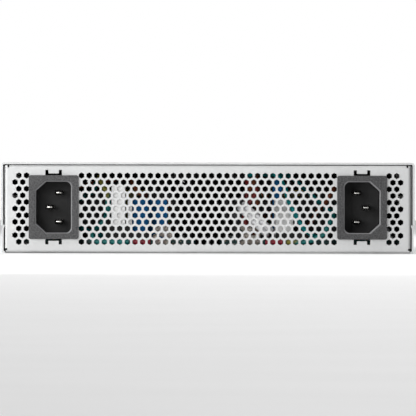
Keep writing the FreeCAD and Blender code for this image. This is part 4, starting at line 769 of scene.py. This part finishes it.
def port_connectors():
    """Host connector at the back of every port, with two rows of gold contacts."""
    widths = dict(zip(CAGES, (11.2, 16.0)))
    long, half_slot, half_tall, half_end = 8.5, 0.75, 3.2, 0.7
    pin_pitch, pin_wide, pin_thick = 0.8, 0.34, 0.14
    bent = ((0.2, 0.78), (1.0, 0.5), (3.0, 0.62))             # (depth, height) along a contact
    bodies, contacts = Solids(), Solids()
    for node in CAGES:
        _, high, walls, shelves = cage_openings(node)
        wide = widths[node]
        back = high.y - CAGE_SHEET
        front, rear = back - long, back - 0.1
        pins = int((wide - 3.0) / pin_pitch)
        for x, floor, roof in port_mouths(walls, shelves):
            z = (floor + roof) / 2
            for z_low, z_high in ((z - half_tall, z - half_slot), (z + half_slot, z + half_tall)):
                bodies.box((x - wide / 2, front, z_low), (x + wide / 2, rear, z_high))
            for end in (-1, 1):
                x_end = x + end * (wide / 2 - half_end)
                bodies.box((x_end - half_end, front, z - half_slot), (x_end + half_end, rear, z + half_slot))
            for k in range(pins):
                px = x + (k - (pins - 1) / 2) * pin_pitch
                for way in (-1, 1):
                    contacts.strip([(px, front + reach, z + way * rise) for reach, rise in bent],
                                   pin_wide, pin_thick, (1, 0, 0))
    mesh = bodies.mesh("port_connectors", edge_rounding(0.15 * MM))
    add_piece("port_connectors", mesh, LOOKS["moulding_black"])
    add_piece("port_contacts", contacts.mesh("port_contacts"), CONTACT_GOLD)


def jack_details():
    """Eight gold spring wires in each jack, and the springs on the sides of its shield."""
    low, high = box_mm("network_jacks")
    x, middle, front = (low.x + high.x) / 2, (low.z + high.z) / 2, low.y
    count, pitch = 8, 1.02
    bent = ((13.6, 9.0), (12.0, 8.9), (6.5, 5.2), (3.4, 3.3), (2.2, 2.85))   # (depth, height) of a wire
    wall, bulge, steps = 5.86, 0.5, 6
    wires, springs = Solids(), Solids()
    for way in (-1, 1):
        for k in range(count):
            px = x + (k - (count - 1) / 2) * pitch
            wires.wire([(px, front + reach, middle + way * rise) for reach, rise in bent], 0.17, 6)
        for side in (-1, 1):
            for z in (middle + way * 4.4, middle + way * 7.4):
                arc = [(x + side * (wall - bulge * math.sin(math.pi * i / steps)), front + 0.6 + 0.8 * i, z)
                       for i in range(steps + 1)]
                springs.strip(arc, 1.5, 0.12, (0, 0, 1))
    add_piece("jack_contacts", wires.mesh("jack_contacts", angle=60.0), CONTACT_GOLD)
    add_piece("jack_springs", springs.mesh("jack_springs"), LOOKS["cage_nickel"])


def usb_details():
    """Four gold contacts under the tongue, the outer two longer, and two springs in the shell."""
    low, high = box_mm("usb_port")
    x, front = (low.x + high.x) / 2, low.y
    contact_z, contact_end, steps = high.z - 2.66, 9.0, 7
    contacts, springs = Solids(), Solids()
    for shift, begin in ((-3.5, 1.4), (-1.0, 1.9), (1.0, 1.9), (3.5, 1.4)):
        contacts.strip([(x + shift, front + reach, contact_z) for reach in (begin, contact_end)],
                       1.0, 0.1, (1, 0, 0))
    for shift in (-3.0, 3.0):
        arc = [(x + shift, front + 1.0 + 0.8 * i, low.z + 0.45 + 0.45 * math.sin(math.pi * i / steps))
               for i in range(steps + 1)]
        springs.strip(arc, 1.9, 0.14, (1, 0, 0))
    add_piece("usb_contacts", contacts.mesh("usb_contacts", edge_rounding(0.03 * MM)), CONTACT_GOLD)
    add_piece("usb_springs", springs.mesh("usb_springs"), LOOKS["cage_nickel"])


# ======================================================================================
# Pieces: inside
# ======================================================================================
def coil_springs():
    """Real coils in place of the heatsink's spring sleeves."""
    coil_r, wire_r, inset, turns, steps = 2.25, 0.38, 0.4, 5, 16
    coils = Solids()
    for low, high in solid_boxes("heatsink_springs"):
        x, y = (low.x + high.x) / 2, (low.y + high.y) / 2
        rise = (high.z - low.z - 2 * inset) / (turns * steps)
        points = []
        for i in range(turns * steps + 1):
            a = math.tau * i / steps
            points.append((x + coil_r * math.cos(a), y + coil_r * math.sin(a), low.z + inset + rise * i))
        coils.wire(points, wire_r, 8)
    add_piece("heatsink_coils", coils.mesh("heatsink_coils", angle=60.0), LOOKS["fastener_steel"],
              stands_for=("heatsink_springs",))


def fan_guards():
    """Wire guard over each duct in the bracket, black partly as painted shade: rings on four radial wires."""
    ring_radii = (5.6, 9.6, 13.4, 17.2, 18.4)
    wire_r, sides, steps = 0.55, 8, 48
    bracket, ring_level, spoke_level = 0.8, 1.25, 2.2      # bracket thickness, heights of rings and spokes
    spoke_end, foot_r, foot_level = 19.4, 20.0, 0.6
    guards = Solids()
    for low, high in solid_boxes("fan_frames"):
        axis = Vector(((low.x + high.x) / 2, high.y + bracket, (low.z + high.z) / 2))

        def at(angle, radius, level):
            """Point over the bracket, by angle and radius about the fan's axis."""
            return axis + Vector((radius * math.cos(angle), level, radius * math.sin(angle)))

        for radius in ring_radii:
            guards.loft([[at(math.tau * i / steps, radius + wire_r * math.cos(b),
                             ring_level + wire_r * math.sin(b)) for b in circle(sides)]
                         for i in range(steps + 1)])
        for k in range(4):
            a = math.radians(45 + 90 * k)
            start, end = at(a, ring_radii[0], spoke_level), at(a, spoke_end, spoke_level)
            guards.wire([start, start.lerp(end, 0.5), end, at(a, foot_r, foot_level)], wire_r, sides)
    add_piece("fan_guards", guards.mesh("fan_guards", angle=60.0), LOOKS["painted_black"])


def fan_seat_caps():
    """Plain round cap over each fan's motor seat."""
    profile = ((0.0, 8.6), (0.12, 8.6), (0.16, 8.4), (0.16, 0.6))          # (height, radius)
    caps = Solids()
    for low, high in solid_boxes("fan_frames"):
        x, z, back = (low.x + high.x) / 2, (low.z + high.z) / 2, high.y
        caps.stepped((x, back - 0.02, z), (0, 1, 0), profile, 40)
    add_piece("fan_seat_caps", caps.mesh("fan_seat_caps"), CASE_GREY)


BARE_NODES = ("main_board", "psu_boards", "chassis_base", "top_cover", "front_panel", "rear_panel")
LOW_PARTS = 18.0                       # what starts above this leaves the board under it free
CLEAR, LAND = 0.8, 0.6                 # free space between parts, and solder land around each
LEG_PITCH = 0.8
LEG_BENDS = ((-0.1, 0.6), (0.3, 0.55), (0.4, 0.1), (0.8, 0.06))          # (reach, height) along a leg
CAN_PROFILE = ((0.0, 2.4), (0.6, 2.5), (1.0, 2.2), (1.4, 2.5), (5.4, 2.5), (5.8, 2.3), (5.75, 1.6))
# x and y ranges, board top and number of parts
CLEAR_AREAS = ((-92.0, 92.0, -204.0, 46.0, 8.8, 190),
               (-8.0, -58.0, 96.0, 226.0, 6.2, 34), (8.0, 58.0, 96.0, 226.0, 6.2, 34),
               (-60.0, -92.0, 96.0, 200.0, 6.2, 18), (60.0, 92.0, 96.0, 200.0, 6.2, 18))


def small_parts():
    """Chips, ceramic parts and small cans scattered on the clear areas of the boards."""
    chance = random.Random(11)
    taken = []
    for node in frame["nodes"]:
        if node not in BARE_NODES:
            taken += [(low, high) for low, high in solid_boxes(node) if low.z < LOW_PARTS]
    chips, legs, ceramics, cans = Solids(), Solids(), Solids(), Solids()

    def is_clear(x, y, half_x, half_y):
        for low, high in taken:
            if low.x - CLEAR < x + half_x and high.x + CLEAR > x - half_x:
                if low.y - CLEAR < y + half_y and high.y + CLEAR > y - half_y:
                    return False
        return True

    def chip(x, y, top, half_x, half_y):
        chips.box((x - half_x, y - half_y, top + 0.1), (x + half_x, y + half_y, top + 1.1))
        count = int(half_y * 2 / LEG_PITCH)
        for k in range(count):
            leg_y = y + (k - (count - 1) / 2) * LEG_PITCH
            for side in (-1, 1):
                legs.strip([(x + side * (half_x + reach), leg_y, top + rise) for reach, rise in LEG_BENDS],
                           0.35, 0.12, (0, 1, 0))

    def ceramic(x, y, top, half_x, half_y):
        ceramics.box((x - half_x * 0.6, y - half_y, top), (x + half_x * 0.6, y + half_y, top + 0.7))
        for side in (-1, 1):
            legs.block((x + side * half_x * 0.8, y, top + 0.36), (half_x * 0.42, half_y * 2.06, 0.74))

    for x0, x1, y0, y1, top, wanted in CLEAR_AREAS:
        placed = 0
        for _ in range(wanted * 6):
            if placed >= wanted:
                break
            kind = chance.choice(("chip", "chip", "ceramic", "ceramic", "ceramic", "can"))
            chip_half = chance.choice((2.5, 3.5, 5.0))
            squash = chance.choice((0.8, 1.0))
            half_x, half_y = {"chip": (chip_half, chip_half * squash), "ceramic": (0.8, 0.45),
                              "can": (2.5, 2.5)}[kind]
            x = chance.uniform(min(x0, x1) + half_x, max(x0, x1) - half_x)
            y = chance.uniform(y0 + half_y, y1 - half_y)
            around_x, around_y = half_x + LAND, half_y + LAND
            if not is_clear(x, y, around_x, around_y):
                continue
            placed += 1
            taken.append((Vector((x - around_x, y - around_y, top)),
                          Vector((x + around_x, y + around_y, top + 1.0))))
            if kind == "can":
                cans.stepped((x, y, top), (0, 0, 1), CAN_PROFILE, 20)
            else:
                (chip if kind == "chip" else ceramic)(x, y, top, half_x, half_y)
    add_piece("board_chips", chips.mesh("board_chips", edge_rounding(0.1 * MM, 1)), LOOKS["chip_black"])
    for name, solids, look in (("board_joints", legs, SOLDER), ("board_ceramics", ceramics, PART_TAN),
                               ("board_cans", cans, LOOKS["heatsink_aluminium"])):
        add_piece(name, solids.mesh(name), look)


adhesive()
terminal_boots()
wound_chokes()
spring_fingers()
port_connectors()
jack_details()
usb_details()
coil_springs()
fan_guards()
fan_seat_caps()
small_parts()


# ======================================================================================
# Studio and camera
# ======================================================================================
RIGHT_LEVEL, LEFT_LEVEL = 0.06, 1.18               # surround's strength towards -X and +X
REAR_TARGET = (0.0, 0.25, 0.02)
# name, place, what it points at, width, height, watts
SOFTBOXES = (("key", (0.34, 1.10, 0.12), REAR_TARGET, 0.4, 0.4, 3.2),
             ("rim", (1.4, 0.40, 0.35), REAR_TARGET, 0.25, 0.9, 10.0),
             ("top", (0.0, 0.3, 2.2), (0.0, 0.3, 0.0), 2.4, 2.4, 22.0),
             ("far", (-0.4, -1.6, 0.9), (0.0, -0.25, 0.02), 0.9, 0.9, 6.0))
CAMERA_AWAY, CAMERA_MARGIN, CAMERA_ROLL, CAMERA_OFFSET = 3.0, 1.005, 0.1, -0.0001
SENSOR_WIDTH = 36.0


def aim(thing, target):
    direction = Vector(target) - thing.location
    thing.rotation_euler = direction.to_track_quat("-Z", "Y").to_euler()


def softbox(name, place, target, width, height, power):
    """Rectangular lamp that the camera doesn't see."""
    light = bpy.data.lights.new(name, "AREA")
    light.shape = "RECTANGLE"
    light.size, light.size_y, light.energy = width, height, power
    lamp = bpy.data.objects.new(name, light)
    bpy.context.scene.collection.objects.link(lamp)
    lamp.location = place
    lamp.visible_camera = False
    aim(lamp, target)


def pale_floor():
    """Plain pale floor, just under the flat base."""
    mesh = bpy.data.meshes.new("floor")
    reach = 8.0
    level = -0.0001
    mesh.from_pydata([(-reach, -reach, level), (reach, -reach, level), (reach, reach, level),
                      (-reach, reach, level)], [], [(0, 1, 2, 3)])
    floor = bpy.data.objects.new("floor", mesh)
    bpy.context.scene.collection.objects.link(floor)
    look = Look("floor", (0.86, 0.86, 0.86), 0.6)
    look.colour(look.blend(look.remap(look.noise(0.05), 0, 1), (0.86, 0.86, 0.86), (0.88, 0.88, 0.88)))
    mesh.materials.append(look.material)
    floor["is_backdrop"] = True


def studio():
    """Surround that the camera sees as white, while its light falls off towards -X."""
    world = bpy.data.worlds.new("studio")
    world.use_nodes = True
    tree = world.node_tree
    seen = tree.nodes["Background"]
    seen.inputs["Color"].default_value = (1.0, 1.0, 1.0, 1.0)
    lit = tree.nodes.new("ShaderNodeBackground")
    heading = tree.nodes.new("ShaderNodeTexCoord")
    parts = tree.nodes.new("ShaderNodeSeparateXYZ")
    tree.links.new(heading.outputs["Generated"], parts.inputs["Vector"])
    across = tree.nodes.new("ShaderNodeMapRange")
    tree.links.new(parts.outputs["X"], across.inputs["Value"])
    for socket, value in (("From Min", -0.9), ("From Max", 0.9),
                          ("To Min", RIGHT_LEVEL), ("To Max", LEFT_LEVEL)):
        across.inputs[socket].default_value = value
    tree.links.new(across.outputs["Result"], lit.inputs["Strength"])
    lit.inputs["Color"].default_value = (1.0, 1.0, 1.0, 1.0)
    chosen = tree.nodes.new("ShaderNodeMixShader")
    tree.links.new(tree.nodes.new("ShaderNodeLightPath").outputs["Is Camera Ray"], chosen.inputs["Fac"])
    tree.links.new(lit.outputs["Background"], chosen.inputs[1])
    tree.links.new(seen.outputs["Background"], chosen.inputs[2])
    tree.links.new(chosen.outputs["Shader"], tree.nodes["World Output"].inputs["Surface"])
    bpy.context.scene.world = world
    bpy.context.scene.view_settings.view_transform = "Standard"
    for settings in SOFTBOXES:
        softbox(*settings)


def camera():
    """Square on to the rear, from far enough that the view is nearly parallel."""
    low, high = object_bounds()
    lens_data = bpy.data.cameras.new("camera")
    lens_data.sensor_width = SENSOR_WIDTH
    lens_data.lens = SENSOR_WIDTH * CAMERA_AWAY / ((high[0] - low[0]) * CAMERA_MARGIN)
    lens_data.clip_end = 50.0
    view = bpy.data.objects.new("camera", lens_data)
    bpy.context.scene.collection.objects.link(view)
    level = (low[2] + high[2]) / 2 + CAMERA_OFFSET
    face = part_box("rear_panel")[1].y
    view.location = (CAMERA_OFFSET, face + CAMERA_AWAY, level)
    aim(view, (CAMERA_OFFSET, 0.0, level))
    view.rotation_euler.rotate_axis("Z", math.radians(CAMERA_ROLL))
    bpy.context.scene.camera = view


pale_floor()
studio()
camera()
